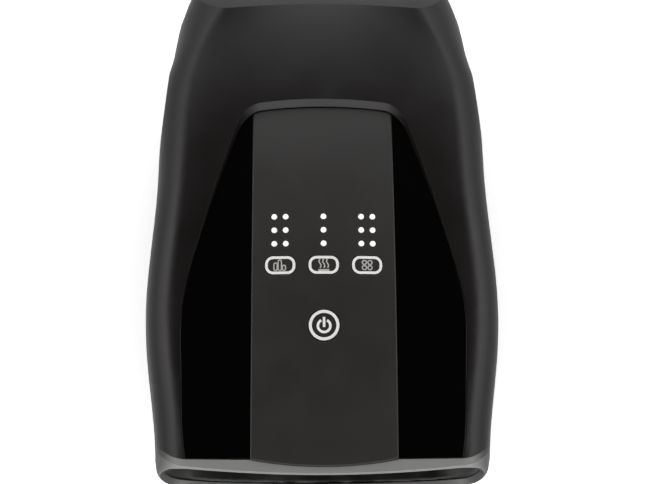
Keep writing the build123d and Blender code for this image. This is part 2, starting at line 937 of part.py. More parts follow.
with BuildPart() as light_chips:
    with BuildSketch(Plane.XY.offset(board_top)):
        with Locations(dot_places()):
            Rectangle(chip_length, chip_width)
    extrude(amount=chip_height)
light_chips.part.label = "light_chips"
export_step(light_chips.part, "parts/light_chips.step")


# Palm plate with its knobs, and the heating film on it
palm_half_width = pocket_half_width - palm_plate_inset
palm_front_y = flare_end_y + pad_front_gap
palm_rear_y = pocket_rear_y - pad_rear_gap
palm_mid_y = (palm_front_y + palm_rear_y) / 2
palm_depth = palm_rear_y - palm_front_y
knob_ball_radius = (knob_radius**2 + knob_height**2) / (2 * knob_height)
with BuildPart() as knobs:
    with Locations((0, palm_mid_y, palm_plate_top + knob_height - knob_ball_radius)):
        with GridLocations(knob_pitch, knob_pitch, knob_columns, knob_rows):
            Sphere(knob_ball_radius)
    split(bisect_by=Plane.XY.offset(palm_plate_top), keep=Keep.TOP)
with BuildPart() as palm_plate:
    with BuildSketch(Plane.XY.offset(palm_plate_bottom)):
        with Locations((0, palm_mid_y)):
            RectangleRounded(2 * palm_half_width, palm_depth, palm_plate_corner)
        with Locations(plate_post_places()):
            Circle(screw_radius, mode=Mode.SUBTRACT)
    extrude(amount=palm_plate_thickness)
    add(knobs.part)
palm_plate.part.label = "palm_plate"
export_step(palm_plate.part, "parts/palm_plate.step")

with BuildPart() as heating_film:
    with BuildSketch(Plane.XY.offset(palm_plate_top)):
        with Locations((0, palm_mid_y)):
            RectangleRounded(
                2 * (palm_half_width - film_inset), palm_depth - film_inset, palm_plate_corner
            )
            with GridLocations(knob_pitch, knob_pitch, knob_columns, knob_rows):
                Circle(knob_radius + film_knob_gap, mode=Mode.SUBTRACT)
    extrude(amount=film_thickness)
heating_film.part.label = "heating_film"
export_step(heating_film.part, "parts/heating_film.step")


# Bag frame: the plate over the pocket, with a skirt and a rib that the liner's roof is tacked to
frame_mid_y = (frame_front_y + liner_rear_y) / 2
frame_depth = liner_rear_y - frame_front_y
palm_pad_front_y = flare_end_y + pad_front_gap
palm_pad_rear_y = pad_rib_y - pad_rib_gap
finger_pad_front_y = pad_rib_y + pad_rib_gap
finger_pad_rear_y = pocket_rear_y - pad_rear_gap
pad_half_width = pocket_half_width - pad_margin
tube_height = (frame_bottom + bag_bottom) / 2
with BuildPart() as bag_frame:
    with BuildSketch(Plane.XY.offset(frame_bottom)):
        with Locations((0, frame_mid_y)):
            RectangleRounded(2 * liner_half_width, frame_depth, frame_corner_radius)
        with Locations(frame_boss_places()):
            Circle(screw_radius, mode=Mode.SUBTRACT)
    extrude(amount=frame_thickness)
    with BuildSketch(Plane.XY.offset(liner_top)):
        with Locations((0, frame_mid_y)):
            RectangleRounded(2 * liner_half_width, frame_depth, frame_corner_radius)
            RectangleRounded(
                2 * (liner_half_width - skirt_width), frame_depth - 2 * skirt_width,
                frame_corner_radius - skirt_width, mode=Mode.SUBTRACT,
            )
        with Locations((0, pad_rib_y)):
            Rectangle(2 * pad_half_width, skirt_width)
    extrude(amount=frame_bottom - liner_top)
    with BuildSketch(Plane.XZ.offset(-pocket_rear_y + 2 * skirt_width)):
        with Locations((finger_port_x, tube_height), (palm_tube_x, tube_height)):
            Circle(tube_radius + tube_notch)
    extrude(amount=-overrun, mode=Mode.SUBTRACT)
bag_frame.part.label = "bag_frame"
export_step(bag_frame.part, "parts/bag_frame.step")


def cushion(front, rear, half, bottom, height, corner, edge):
    """A flat soft box with rounded corners and rounded long edges."""
    with BuildPart() as block:
        with BuildSketch(Plane.XY.offset(bottom)):
            with Locations((0, (front + rear) / 2)):
                RectangleRounded(2 * half, rear - front, corner)
        extrude(amount=height)
        fillet(block.edges().group_by(Axis.Z)[0], edge)
        fillet(block.edges().group_by(Axis.Z)[-1], edge)
    return block.part


palm_bag = cushion(
    palm_pad_front_y + bag_inset, palm_pad_rear_y - bag_inset, pad_half_width - bag_inset,
    bag_bottom, bag_thickness, bag_corner_radius, bag_edge,
)
palm_bag.label = "palm_bag"
export_step(palm_bag, "parts/palm_bag.step")
finger_bag = cushion(
    finger_pad_front_y + bag_inset, finger_pad_rear_y - bag_inset, pad_half_width - bag_inset,
    bag_bottom, bag_thickness, bag_corner_radius, bag_edge,
)
finger_bag.label = "finger_bag"
export_step(finger_bag, "parts/finger_bag.step")
palm_pad = cushion(
    palm_pad_front_y, palm_pad_rear_y, pad_half_width, pad_bottom, pad_thickness,
    pad_corner_radius, pad_edge,
)
palm_pad.label = "palm_pad"
export_step(palm_pad, "parts/palm_pad.step")
finger_pad = cushion(
    finger_pad_front_y, finger_pad_rear_y, pad_half_width, pad_bottom, pad_thickness,
    pad_corner_radius, pad_edge,
)
finger_pad.label = "finger_pad"
export_step(finger_pad, "parts/finger_pad.step")


# Hand liner: the fabric pocket, flared at the mouth, with an opening in its roof for each pad
def liner_form(inset, rear):
    """The pocket's outer form, or with an inset its inner one."""
    lip = trim_width - trim_lip + fit_gap + inset
    mouth_half = hull_half_width(mouth_y) - lip
    mouth_top = top_height(mouth_y) - lip
    mouth_low = mouth_bottom - trim_lip + fit_gap + inset
    half = liner_half_width - inset
    roof = liner_top - inset
    base = liner_bottom + inset
    flare_y = flare_start - body_length / 2
    sections = [
        cross_section(
            -body_length / 2 - overrun, mouth_half, mouth_top, mouth_low,
            shoulder_lean, shoulder_lean, mouth_corner_radius, shoulder_radius - lip,
        ),
        cross_section(
            flare_y, mouth_half, mouth_top, mouth_low,
            shoulder_lean, shoulder_lean, mouth_corner_radius, shoulder_radius - lip,
        ),
        cross_section(
            flare_end_y, half, roof, base, pocket_lean, pocket_lean,
            pocket_corner_radius, pocket_corner_radius, pocket_crown_share,
        ),
        cross_section(
            rear, half, roof, base, pocket_lean, pocket_lean,
            pocket_corner_radius, pocket_corner_radius, pocket_crown_share,
        ),
    ]
    with BuildPart() as form:
        loft(sections, ruled=True)
    return form.part


with BuildPart() as hand_liner:
    add(liner_form(0.0, liner_rear_y))
    add(liner_form(liner_thickness, pocket_rear_y), mode=Mode.SUBTRACT)
    add(trim_back, mode=Mode.INTERSECT)
    with BuildSketch(Plane.XY.offset(parting_height)):
        for front, rear in (
            (palm_pad_front_y, palm_pad_rear_y), (finger_pad_front_y, finger_pad_rear_y)
        ):
            with Locations((0, (front + rear) / 2)):
                RectangleRounded(
                    2 * (pad_half_width + pad_gap), rear - front + 2 * pad_gap, pad_corner_radius
                )
    extrude(amount=overrun, mode=Mode.SUBTRACT)
hand_liner.part.label = "hand_liner"
export_step(hand_liner.part, "parts/hand_liner.step")


# Battery cells in their holder
cell_height = floor_height + 2 * cell_gap + cell_radius
cell_ys = (battery_y - cell_pitch / 2, battery_y + cell_pitch / 2)
with BuildPart() as battery_holder:
    with BuildSketch(Plane.XY.offset(floor_height)):
        with Locations((0, battery_y)):
            Rectangle(2 * holder_half_length, 2 * holder_half_depth)
    extrude(amount=2 * cell_radius * holder_height_share)
    with BuildSketch(Plane.YZ.offset(-cell_length / 2 - cell_gap)):
        with Locations([(y, cell_height) for y in cell_ys]):
            Circle(cell_radius + cell_gap)
    extrude(amount=cell_length + 2 * cell_gap, mode=Mode.SUBTRACT)
battery_holder.part.label = "battery_holder"
export_step(battery_holder.part, "parts/battery_holder.step")

for name, y in zip(("front_cell", "rear_cell"), cell_ys):
    with BuildPart() as cell:
        with BuildSketch(Plane.YZ.offset(-cell_length / 2)):
            with Locations((y, cell_height)):
                Circle(cell_radius)
        extrude(amount=cell_length - cell_cap_height)
        with BuildSketch(Plane.YZ.offset(cell_length / 2 - cell_cap_height)):
            with Locations((y, cell_height)):
                Circle(cell_cap_radius)
        extrude(amount=cell_cap_height)
    cell.part.label = name
    export_step(cell.part, f"parts/{name}.step")


# Main board with its chips and connectors
main_mid_y = (main_board_front_y + main_board_rear_y) / 2
battery_plug = (2 * connector_length, main_board_front_y + connector_width / 2)
pump_plug = (-2 * connector_length, main_board_rear_y - connector_width / 2)
control_plug = (-main_board_half_width + connector_width / 2, main_mid_y - connector_length)
with BuildPart() as main_board:
    with BuildSketch(Plane.XY.offset(main_board_bottom)):
        with Locations((0, main_mid_y)):
            Rectangle(2 * main_board_half_width, main_board_rear_y - main_board_front_y)
        with Locations(main_boss_places()):
            Circle(screw_radius, mode=Mode.SUBTRACT)
    extrude(amount=board_thickness)
    with BuildSketch(Plane.XY.offset(main_board_top)):
        with Locations(battery_plug, pump_plug):
            Rectangle(connector_length, connector_width)
        with Locations(control_plug):
            Rectangle(connector_width, connector_length)
    extrude(amount=connector_height)
    with BuildSketch(Plane.XY.offset(main_board_top)):
        with Locations((0, main_mid_y)):
            with GridLocations(2 * main_chip_side, 0, 3, 1):
                Rectangle(main_chip_side, main_chip_side)
    extrude(amount=main_chip_height)
main_board.part.label = "main_board"
export_step(main_board.part, "parts/main_board.step")


# Screws
with BuildPart() as small_screws:
    add(board_screws(control_boss_places(), board_bottom, True))
    add(board_screws(main_boss_places(), main_board_top, False))
small_screws.part.label = "board_screws"
export_step(small_screws.part, "parts/board_screws.step")
with BuildPart() as frame_screws:
    with BuildSketch(Plane.XY.offset(frame_bottom)):
        with Locations(frame_boss_places()):
            Circle(screw_head_radius)
    extrude(amount=-screw_head_height)
    with BuildSketch(Plane.XY.offset(frame_bottom)):
        with Locations(frame_boss_places()):
            Circle(screw_radius)
    extrude(amount=frame_thickness + screw_grip)
    with BuildSketch(Plane.XY.offset(palm_plate_top)):
        with Locations(plate_post_places()):
            Circle(screw_head_radius)
    extrude(amount=screw_head_height)
    with BuildSketch(Plane.XY.offset(palm_plate_top)):
        with Locations(plate_post_places()):
            Circle(screw_radius)
    extrude(amount=-palm_plate_thickness - screw_grip)
frame_screws.part.label = "frame_screws"
export_step(frame_screws.part, "parts/frame_screws.step")
with BuildPart() as closing_screws:
    with BuildSketch(Plane.XY.offset(closing_seat_height)):
        with Locations(closing_places()):
            Circle(closing_head_radius)
    extrude(amount=-closing_head_height)
    with BuildSketch(Plane.XY.offset(closing_seat_height)):
        with Locations(closing_places()):
            Circle(closing_screw_radius)
    extrude(amount=closing_seat + closing_grip)
closing_screws.part.label = "closing_screws"
export_step(closing_screws.part, "parts/closing_screws.step")


# Rubber feet, pressed into round seats
foot_names = ("front_right_foot", "front_left_foot", "rear_right_foot", "rear_left_foot")
for name, place in zip(foot_names, foot_places()):
    with BuildPart() as foot:
        with BuildSketch():
            with Locations(place):
                Circle(foot_radius)
        extrude(amount=ground_gap + foot_seat)
        fillet(foot.edges().group_by(Axis.Z)[0], foot_edge)
    foot.part.label = name
    export_step(foot.part, f"parts/{name}.step")


# Charging socket on its small board behind the port
with BuildPart() as charging_socket:
    with BuildSketch(Plane.XY.offset(socket_board_bottom)):
        with Locations((0, socket_board_mid_y)):
            Rectangle(2 * socket_board_half_width, socket_board_length)
    extrude(amount=board_thickness)
    with BuildSketch(Plane.XZ.offset(-socket_front_y)):
        with Locations((0, socket_height_mid)):
            RectangleRounded(socket_width, socket_height, socket_height / 2 - fit_gap)
    extrude(amount=-socket_length)
    with BuildSketch(Plane.XZ.offset(-socket_front_y - 2 * socket_wall)):
        with Locations((0, socket_height_mid)):
            RectangleRounded(
                socket_width - 2 * socket_wall, socket_height - 2 * socket_wall,
                socket_height / 2 - socket_wall - fit_gap,
            )
    extrude(amount=-socket_length, mode=Mode.SUBTRACT)
    with BuildSketch(Plane.XZ.offset(-socket_front_y)):
        with Locations((0, socket_height_mid)):
            Rectangle(socket_width - 2 * socket_height / 2, socket_tongue)
    extrude(amount=-socket_length + 2 * socket_wall)
charging_socket.part.label = "charging_socket"
export_step(charging_socket.part, "parts/charging_socket.step")


# Air pump: motor, crank, frame, rocker, diaphragm and head on one axis along X
def pump_plane(x):
    return Plane.YZ.offset(x)


pump_centre = (pump_y, pump_height)
motor_end_x = pump_start_x + motor_length
crank_start_x = motor_end_x + head_back + crank_clearance
crank_end_x = crank_start_x + crank_thickness
rocker_start_x = crank_end_x + crank_clearance
rocker_end_x = rocker_start_x + rocker_thickness
cup_start_x = head_end_x - cup_depth
with BuildPart() as pump_motor:
    with BuildSketch(pump_plane(pump_start_x)):
        with Locations(pump_centre):
            Circle(motor_radius)
    extrude(amount=motor_length)
    fillet(pump_motor.edges().group_by(Axis.X)[0], motor_edge)
    with BuildSketch(pump_plane(motor_end_x)):
        with Locations(pump_centre):
            Circle(motor_boss_radius)
    extrude(amount=motor_boss_length)
    with BuildSketch(pump_plane(motor_end_x + motor_boss_length)):
        with Locations(pump_centre):
            Circle(shaft_radius + shaft_clearance)
    extrude(amount=-shaft_depth - motor_boss_length, mode=Mode.SUBTRACT)
pump_motor.part.label = "pump_motor"
export_step(pump_motor.part, "parts/pump_motor.step")

with BuildPart() as pump_crank:
    with BuildSketch(pump_plane(motor_end_x - shaft_depth + rest_gap)):
        with Locations(pump_centre):
            Circle(shaft_radius)
    extrude(amount=shaft_depth - rest_gap + head_back + crank_clearance)
    with BuildSketch(pump_plane(crank_start_x)):
        with Locations(pump_centre):
            Circle(crank_radius)
    extrude(amount=crank_thickness)
    with BuildSketch(pump_plane(crank_end_x)):
        with Locations((pump_y + crank_pin_offset, pump_height)):
            Circle(crank_pin_radius)
    extrude(amount=crank_pin_length)
pump_crank.part.label = "pump_crank"
export_step(pump_crank.part, "parts/pump_crank.step")

with BuildPart() as pump_frame:
    with BuildSketch(pump_plane(motor_end_x)):
        with Locations(pump_centre):
            Circle(head_radius)
    extrude(amount=head_frame_length)
    with BuildSketch(pump_plane(motor_end_x + head_back)):
        with Locations(pump_centre):
            Circle(head_bore_radius)
    extrude(amount=head_frame_length, mode=Mode.SUBTRACT)
    with BuildSketch(pump_plane(motor_end_x)):
        with Locations(pump_centre):
            Circle(motor_boss_radius + fit_gap)
    extrude(amount=head_back, mode=Mode.SUBTRACT)
pump_frame.part.label = "pump_frame"
export_step(pump_frame.part, "parts/pump_frame.step")


def rocker_arms():
    return [
        (
            pump_y + rocker_reach * math.cos(math.radians(angle)),
            pump_height + rocker_reach * math.sin(math.radians(angle)),
        )
        for angle in rocker_arm_angles
    ]


with BuildPart() as pump_diaphragm:
    with BuildSketch(pump_plane(head_end_x)):
        with Locations(pump_centre):
            Circle(head_radius)
    extrude(amount=diaphragm_thickness)
    with BuildSketch(pump_plane(head_end_x)):
        with Locations(rocker_arms()):
            Circle(cup_radius)
    extrude(amount=-cup_depth, taper=cup_taper)
    with BuildSketch(pump_plane(cup_start_x)):
        with Locations(rocker_arms()):
            Circle(nipple_radius)
    extrude(amount=-(cup_start_x - rocker_end_x))
pump_diaphragm.part.label = "pump_diaphragm"
export_step(pump_diaphragm.part, "parts/pump_diaphragm.step")

with BuildPart() as pump_rocker:
    with BuildSketch(pump_plane(rocker_start_x)):
        for place in rocker_arms():
            with BuildLine():
                Line(pump_centre, place)
            trace(line_width=2 * rocker_arm_radius)
        with Locations(pump_centre):
            Circle(crank_pin_offset + crank_pin_radius + rocker_arm_radius)
            Circle(crank_pin_offset + crank_pin_radius + rocker_gap, mode=Mode.SUBTRACT)
    extrude(amount=rocker_thickness)
pump_rocker.part.label = "pump_rocker"
export_step(pump_rocker.part, "parts/pump_rocker.step")

cap_mid_x = (cap_start_x + cap_end_x) / 2
cap_top_height = pump_height + head_radius
with BuildPart() as pump_cap:
    with BuildSketch(pump_plane(cap_start_x)):
        with Locations(pump_centre):
            Circle(head_radius)
    extrude(amount=pump_cap_length)
    fillet(pump_cap.edges().group_by(Axis.X)[-1], motor_edge)
    with BuildSketch(pump_plane(cap_start_x)):
        with Locations(rocker_arms()):
            Circle(cup_radius)
    extrude(amount=chamber_depth, mode=Mode.SUBTRACT)
    with BuildSketch(Plane.XY.offset(pump_height)):
        with Locations((cap_mid_x, pump_y)):
            Circle(nozzle_foot_radius)
    extrude(amount=head_radius + nozzle_foot_length)
    with BuildSketch(Plane.XY.offset(pump_height)):
        with Locations((cap_mid_x, pump_y)):
            Circle(nozzle_radius)
    extrude(amount=head_radius + nozzle_foot_length + nozzle_length)
pump_cap.part.label = "pump_cap"
export_step(pump_cap.part, "parts/pump_cap.step")

cradle_start_x = motor_end_x - cradle_length - saddle_thickness
with BuildPart() as pump_cradle:
    with BuildSketch(pump_plane(cradle_start_x)):
        with Locations((pump_y, floor_height + pump_axis_lift * cradle_share / 2)):
            Rectangle(2 * motor_radius, pump_axis_lift * cradle_share)
        with Locations(pump_centre):
            Circle(motor_radius, mode=Mode.SUBTRACT)
    extrude(amount=cradle_length)
pump_cradle.part.label = "pump_cradle"
export_step(pump_cradle.part, "parts/pump_cradle.step")


# Release valves: a body with a nozzle on top, and an iron core that slides in it
core_bottom = valve_bottom + valve_foot
for name, x in zip(("palm_valve", "finger_valve"), valve_xs[::-1]):
    with BuildPart() as valve:
        with BuildSketch(Plane.XY.offset(valve_bottom)):
            with Locations((x, valve_y)):
                Rectangle(valve_width, valve_depth)
        extrude(amount=valve_height)
        with BuildSketch(Plane.XY.offset(valve_top)):
            with Locations((x, valve_y)):
                Circle(nozzle_foot_radius)
        extrude(amount=nozzle_foot_length)
        with BuildSketch(Plane.XY.offset(valve_top + nozzle_foot_length)):
            with Locations((x, valve_y)):
                Circle(nozzle_radius)
        extrude(amount=nozzle_length)
        with BuildSketch(Plane.XY.offset(core_bottom)):
            with Locations((x, valve_y)):
                Circle(core_radius + core_clearance)
        extrude(amount=core_length + core_travel + rest_gap, mode=Mode.SUBTRACT)
        with BuildSketch(Plane.XY.offset(valve_bottom)):
            with Locations((x, valve_y)):
                Circle(nozzle_radius)
        extrude(amount=valve_foot, mode=Mode.SUBTRACT)
    valve.part.label = name
    export_step(valve.part, f"parts/{name}.step")
    with BuildPart() as core:
        with BuildSketch(Plane.XY.offset(core_bottom)):
            with Locations((x, valve_y)):
                Circle(core_radius)
        extrude(amount=core_length)
    core.part.label = f"{name}_core"
    export_step(core.part, f"parts/{name}_core.step")


# Air manifold and the tubes that push onto its spouts
manifold_bottom = floor_height + manifold_lift
manifold_top = manifold_bottom + manifold_height
manifold_start_x = cap_mid_x - manifold_margin
manifold_end_x = valve_xs[1] + manifold_margin
spouts_below = [(cap_mid_x, pump_y)] + [(x, valve_y) for x in valve_xs]
spouts_above = [(finger_port_x, valve_y), (palm_port_x, valve_y)]
with BuildPart() as manifold:
    with BuildSketch(Plane.XY.offset(manifold_bottom)):
        with Locations(((manifold_start_x + manifold_end_x) / 2, valve_y)):
            Rectangle(manifold_end_x - manifold_start_x, manifold_depth)
    extrude(amount=manifold_height)
    chamfer(manifold.edges().filter_by(Axis.X), manifold_edge)
    with BuildSketch(Plane.XY.offset(manifold_bottom)):
        with Locations(spouts_below):
            Circle(nozzle_radius)
    extrude(amount=-nozzle_length)
    with BuildSketch(Plane.XY.offset(manifold_top)):
        with Locations(spouts_above):
            Circle(nozzle_radius)
    extrude(amount=nozzle_length)
manifold.part.label = "air_manifold"
export_step(manifold.part, "parts/air_manifold.step")

pump_spout_height = cap_top_height + nozzle_foot_length
valve_spout_height = valve_top + nozzle_foot_length
with BuildPart() as riser_tubes:
    add(
        tube(
            [(cap_mid_x, pump_y, pump_spout_height), (cap_mid_x, pump_y, manifold_bottom)],
            tube_radius, tube_bend, tube_bore_radius,
        )
    )
    for x in valve_xs:
        add(
            tube(
                [(x, valve_y, valve_spout_height), (x, valve_y, manifold_bottom)],
                tube_radius, tube_bend, tube_bore_radius,
            )
        )
riser_tubes.part.label = "riser_tubes"
export_step(riser_tubes.part, "parts/riser_tubes.step")

finger_tube = tube(
    [
        (finger_port_x, valve_y, manifold_top),
        (finger_port_x, valve_y, tube_height),
        (finger_port_x, finger_pad_rear_y - bag_inset, tube_height),
    ],
    tube_radius, tube_bend, tube_bore_radius,
)
finger_tube.label = "finger_bag_tube"
export_step(finger_tube, "parts/finger_bag_tube.step")
palm_tube = tube(
    [
        (palm_port_x, valve_y, manifold_top),
        (palm_port_x, valve_y, tube_height),
        (palm_tube_x, palm_tube_turn_y, tube_height),
        (palm_tube_x, palm_port_y, tube_height),
        (pad_half_width - bag_inset, palm_port_y, tube_height),
    ],
    tube_radius, tube_bend, tube_bore_radius,
)
palm_tube.label = "palm_bag_tube"
export_step(palm_tube, "parts/palm_bag_tube.step")


# Leads between the boards, the cells and the pump
control_plug_height = board_bottom - connector_height / 2
main_plug_height = main_board_top + connector_height / 2
lead_side_x = -hull_half_width(main_board_front_y) + wall + lead_side_room
control_lead = tube(
    [
        (-control_board_width / 2, control_plug_y, control_plug_height),
        (lead_side_x + lead_bend, control_plug_y, control_plug_height),
        (lead_side_x, main_board_front_y, parting_height + lead_bend),
        (lead_side_x, control_plug[1] - lead_bend, palm_plate_bottom + lead_bend),
        (-main_board_half_width - 2 * lead_bend, control_plug[1], main_plug_height),
        (-main_board_half_width, control_plug[1], main_plug_height),
    ],
    lead_radius, lead_bend,
)
control_lead.label = "control_lead"
export_step(control_lead, "parts/control_lead.step")
battery_lead = tube(
    [
        (battery_plug[0], battery_y + holder_half_depth, main_board_bottom),
        (battery_plug[0], battery_y + holder_half_depth + 2 * lead_bend, main_board_bottom),
        (battery_plug[0], main_board_front_y - 2 * lead_bend, main_plug_height),
        (battery_plug[0], main_board_front_y, main_plug_height),
    ],
    lead_radius, lead_bend,
)
battery_lead.label = "battery_lead"
export_step(battery_lead, "parts/battery_lead.step")
pump_lead = tube(
    [
        (pump_plug[0], pump_y - motor_radius, pump_height),
        (pump_plug[0], pump_y - motor_radius - 2 * lead_bend, pump_height),
        (pump_plug[0], main_board_rear_y + 2 * lead_bend, main_plug_height),
        (pump_plug[0], main_board_rear_y, main_plug_height),
    ],
    lead_radius, lead_bend,
)
pump_lead.label = "pump_lead"
export_step(pump_lead, "parts/pump_lead.step")
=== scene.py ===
"""Hand massager, dressed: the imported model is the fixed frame, and each section below follows one
piece of the real object, in the order in which it is put together."""

import math

import bmesh
import bpy
from mathutils import Matrix, Vector, noise
from mathutils.bvhtree import BVHTree


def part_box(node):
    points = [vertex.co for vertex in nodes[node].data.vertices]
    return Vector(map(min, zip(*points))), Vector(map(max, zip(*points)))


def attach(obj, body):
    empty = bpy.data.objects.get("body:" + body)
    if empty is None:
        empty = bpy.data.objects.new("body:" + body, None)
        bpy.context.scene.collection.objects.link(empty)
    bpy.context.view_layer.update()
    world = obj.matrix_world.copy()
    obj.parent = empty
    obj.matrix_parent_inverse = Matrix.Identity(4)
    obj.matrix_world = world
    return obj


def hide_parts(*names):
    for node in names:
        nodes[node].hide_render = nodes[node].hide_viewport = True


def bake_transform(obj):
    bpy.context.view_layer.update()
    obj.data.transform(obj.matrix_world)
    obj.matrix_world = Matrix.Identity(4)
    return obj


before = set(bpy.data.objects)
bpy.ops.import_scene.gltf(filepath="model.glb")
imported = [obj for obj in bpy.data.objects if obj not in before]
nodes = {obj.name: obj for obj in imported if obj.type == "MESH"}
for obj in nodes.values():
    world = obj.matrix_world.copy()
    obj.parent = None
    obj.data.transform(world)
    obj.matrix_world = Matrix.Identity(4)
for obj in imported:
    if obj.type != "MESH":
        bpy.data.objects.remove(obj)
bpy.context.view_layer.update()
scene = bpy.context.scene
scene.view_settings.view_transform = "Standard"
MM = 0.001


# Camera: nearly straight above the panel, leaning a little towards the mouth, as the photograph is.
# It stands a little to the left of the middle.
CAMERA_RISE = math.radians(78.0)
CAMERA_SIDE = math.radians(1.3)
CAMERA_ROLL = math.radians(-0.08)
CAMERA_REACH = 900 * MM
TARGET = Vector((-0.3, -15.75, 92.0)) * MM
PHOTO_WIDTH = 645
FOCAL_PIXELS = 2083
SENSOR_WIDTH = 36
NEAREST = 0.01

camera_data = bpy.data.cameras.new("photo_camera")
camera_data.sensor_width = SENSOR_WIDTH
camera_data.lens = FOCAL_PIXELS / PHOTO_WIDTH * camera_data.sensor_width
camera_data.clip_start = NEAREST
camera = bpy.data.objects.new("photo_camera", camera_data)
scene.collection.objects.link(camera)
looking = Vector(
    (
        math.sin(CAMERA_SIDE) * math.sin(CAMERA_RISE),
        math.cos(CAMERA_RISE),
        -math.sin(CAMERA_RISE) * math.cos(CAMERA_SIDE),
    )
)
camera.location = TARGET - looking * CAMERA_REACH
across = looking.cross(Vector((0, math.sin(CAMERA_RISE), math.cos(CAMERA_RISE)))).normalized()
level = Matrix((across, across.cross(looking), -looking)).transposed()
turn = level @ Matrix.Rotation(CAMERA_ROLL, 3, "Z")
camera.matrix_world = Matrix.Translation(camera.location) @ turn.to_4x4()
scene.camera = camera


# Studio: a pale floor under a tent of soft light, dark overhead and bright in a band at the sides.
# The dark top keeps the gloss panel black, and the band gives the dark shell its pale shoulders.
# Only camera rays see sky and paper as white, so the lamps stay at the level that suits the object.
TENT_STRENGTH = 3.0
TENT_TONES = ((0.0, 0.38), (0.3, 0.42), (0.36, 0.95), (0.47, 0.95), (0.6, 0.012), (1.0, 0.008))
PAPER_TONE = 0.8
PAPER_SEEN_TONE = 1.9
LAMP_SIZE = 0.8
LAMP_AIM = Vector((0, 0, 0.05))
FLOOR_HALF = 4.0
FLOOR_DROP = 0.2 * MM


def colour(code):
    """The linear colour of an sRGB hex code."""
    channels = [int(code[i : i + 2], 16) / 255 for i in (1, 3, 5)]
    linear = [c / 12.92 if c <= 0.04045 else ((c + 0.055) / 1.055) ** 2.4 for c in channels]
    return (*linear, 1.0)


def add_node(tree, kind, settings=None, links=None):
    """One shader node with its settings, by input or by attribute, and its links."""
    node = tree.nodes.new(kind)
    for name, value in (settings or {}).items():
        if isinstance(name, int) or name in node.inputs:
            node.inputs[name].default_value = value
        else:
            setattr(node, name, value)
    for name, source in (links or {}).items():
        tree.links.new(source, node.inputs[name])
    return node


sky = bpy.data.worlds.new("soft_tent")
scene.world = sky
sky.use_nodes = True
sky_tree = sky.node_tree
sky_tree.nodes.clear()
direction = add_node(sky_tree, "ShaderNodeTexCoord")
height = add_node(sky_tree, "ShaderNodeSeparateXYZ", links={0: direction.outputs["Generated"]})
tent = add_node(sky_tree, "ShaderNodeValToRGB", links={0: height.outputs["Z"]})
stops = tent.color_ramp.elements
while len(stops) < len(TENT_TONES):
    stops.new(0.5)
for stop, (position, tone) in zip(stops, TENT_TONES):
    stop.position = position
    stop.color = (tone, tone, tone, 1)
tent_light = add_node(
    sky_tree, "ShaderNodeBackground", {"Strength": TENT_STRENGTH}, {"Color": tent.outputs[0]}
)
white = add_node(sky_tree, "ShaderNodeBackground", {"Color": (1, 1, 1, 1), "Strength": 1.0})
rays = add_node(sky_tree, "ShaderNodeLightPath")
sky_mix = add_node(
    sky_tree, "ShaderNodeMixShader",
    links={0: rays.outputs["Is Camera Ray"], 1: tent_light.outputs[0], 2: white.outputs[0]},
)
add_node(sky_tree, "ShaderNodeOutputWorld", links={"Surface": sky_mix.outputs[0]})

for name, place, power in (
    ("front_lamp", (0.0, -1.0, 0.5), 2.0),
    ("left_lamp", (-1.05, 0.05, 0.4), 1.0),
    ("right_lamp", (1.05, 0.05, 0.4), 1.0),
    ("rear_lamp", (0.0, 1.1, 0.55), 3.0),
):
    lamp_data = bpy.data.lights.new(name, "AREA")
    lamp_data.shape = "DISK"
    lamp_data.size = LAMP_SIZE
    lamp_data.energy = power
    lamp = bpy.data.objects.new(name, lamp_data)
    lamp.location = place
    aim = LAMP_AIM - Vector(place)
    lamp.rotation_euler = aim.to_track_quat("-Z", "Y").to_euler()
    scene.collection.objects.link(lamp)

floor_mesh = bpy.data.meshes.new("floor")
floor_mesh.from_pydata(
    [
        (x * FLOOR_HALF, y * FLOOR_HALF, -FLOOR_DROP)
        for x, y in ((-1, -1), (1, -1), (1, 1), (-1, 1))
    ],
    [], [(0, 1, 2, 3)],
)
floor = bpy.data.objects.new("floor", floor_mesh)
scene.collection.objects.link(floor)
paper = bpy.data.materials.new("matt white backdrop paper")
paper.use_nodes = True
paper_tree = paper.node_tree
paper_tree.nodes.clear()
rays = add_node(paper_tree, "ShaderNodeLightPath")
paper_tone = add_node(
    paper_tree, "ShaderNodeMix",
    {"data_type": "RGBA", 6: (*[PAPER_TONE] * 3, 1), 7: (*[PAPER_SEEN_TONE] * 3, 1)},
    {0: rays.outputs["Is Camera Ray"]},
)
paper_face = add_node(paper_tree, "ShaderNodeBsdfDiffuse", links={"Color": paper_tone.outputs[2]})
add_node(paper_tree, "ShaderNodeOutputMaterial", links={"Surface": paper_face.outputs[0]})
floor_mesh.materials.append(paper)


# Bottom cover: the tray of the housing, injection-moulded in black ABS with a fine satin grain.
# The grain takes the shine off, and the worn tool edges leave every rim a little round.
# Its corners stand out fuller than the solid's, at the rear and at the lower lip of the mouth.
CLOUD_SIZE = 18
SHINE_SPREAD = 0.08
GRAIN_STRENGTH = 0.6
EDGE_SAMPLES = 4
REAR_REACH = 11.2
REAR_ROWS = (70.0, 110.0)
REAR_SIDES = (18.0, 46.0)
REAR_TOPS = (88.0, 56.0)
FRONT_REACH = 6.3
FRONT_ROWS = (-105.5, -118.0)
FRONT_SIDES = (24.0, 62.0)
FRONT_TOPS = (84.0, 58.0)
FRONT_FOOTS = (4.0, 34.0)
WELD = 0.002
SHARP_ANGLE = math.radians(24)


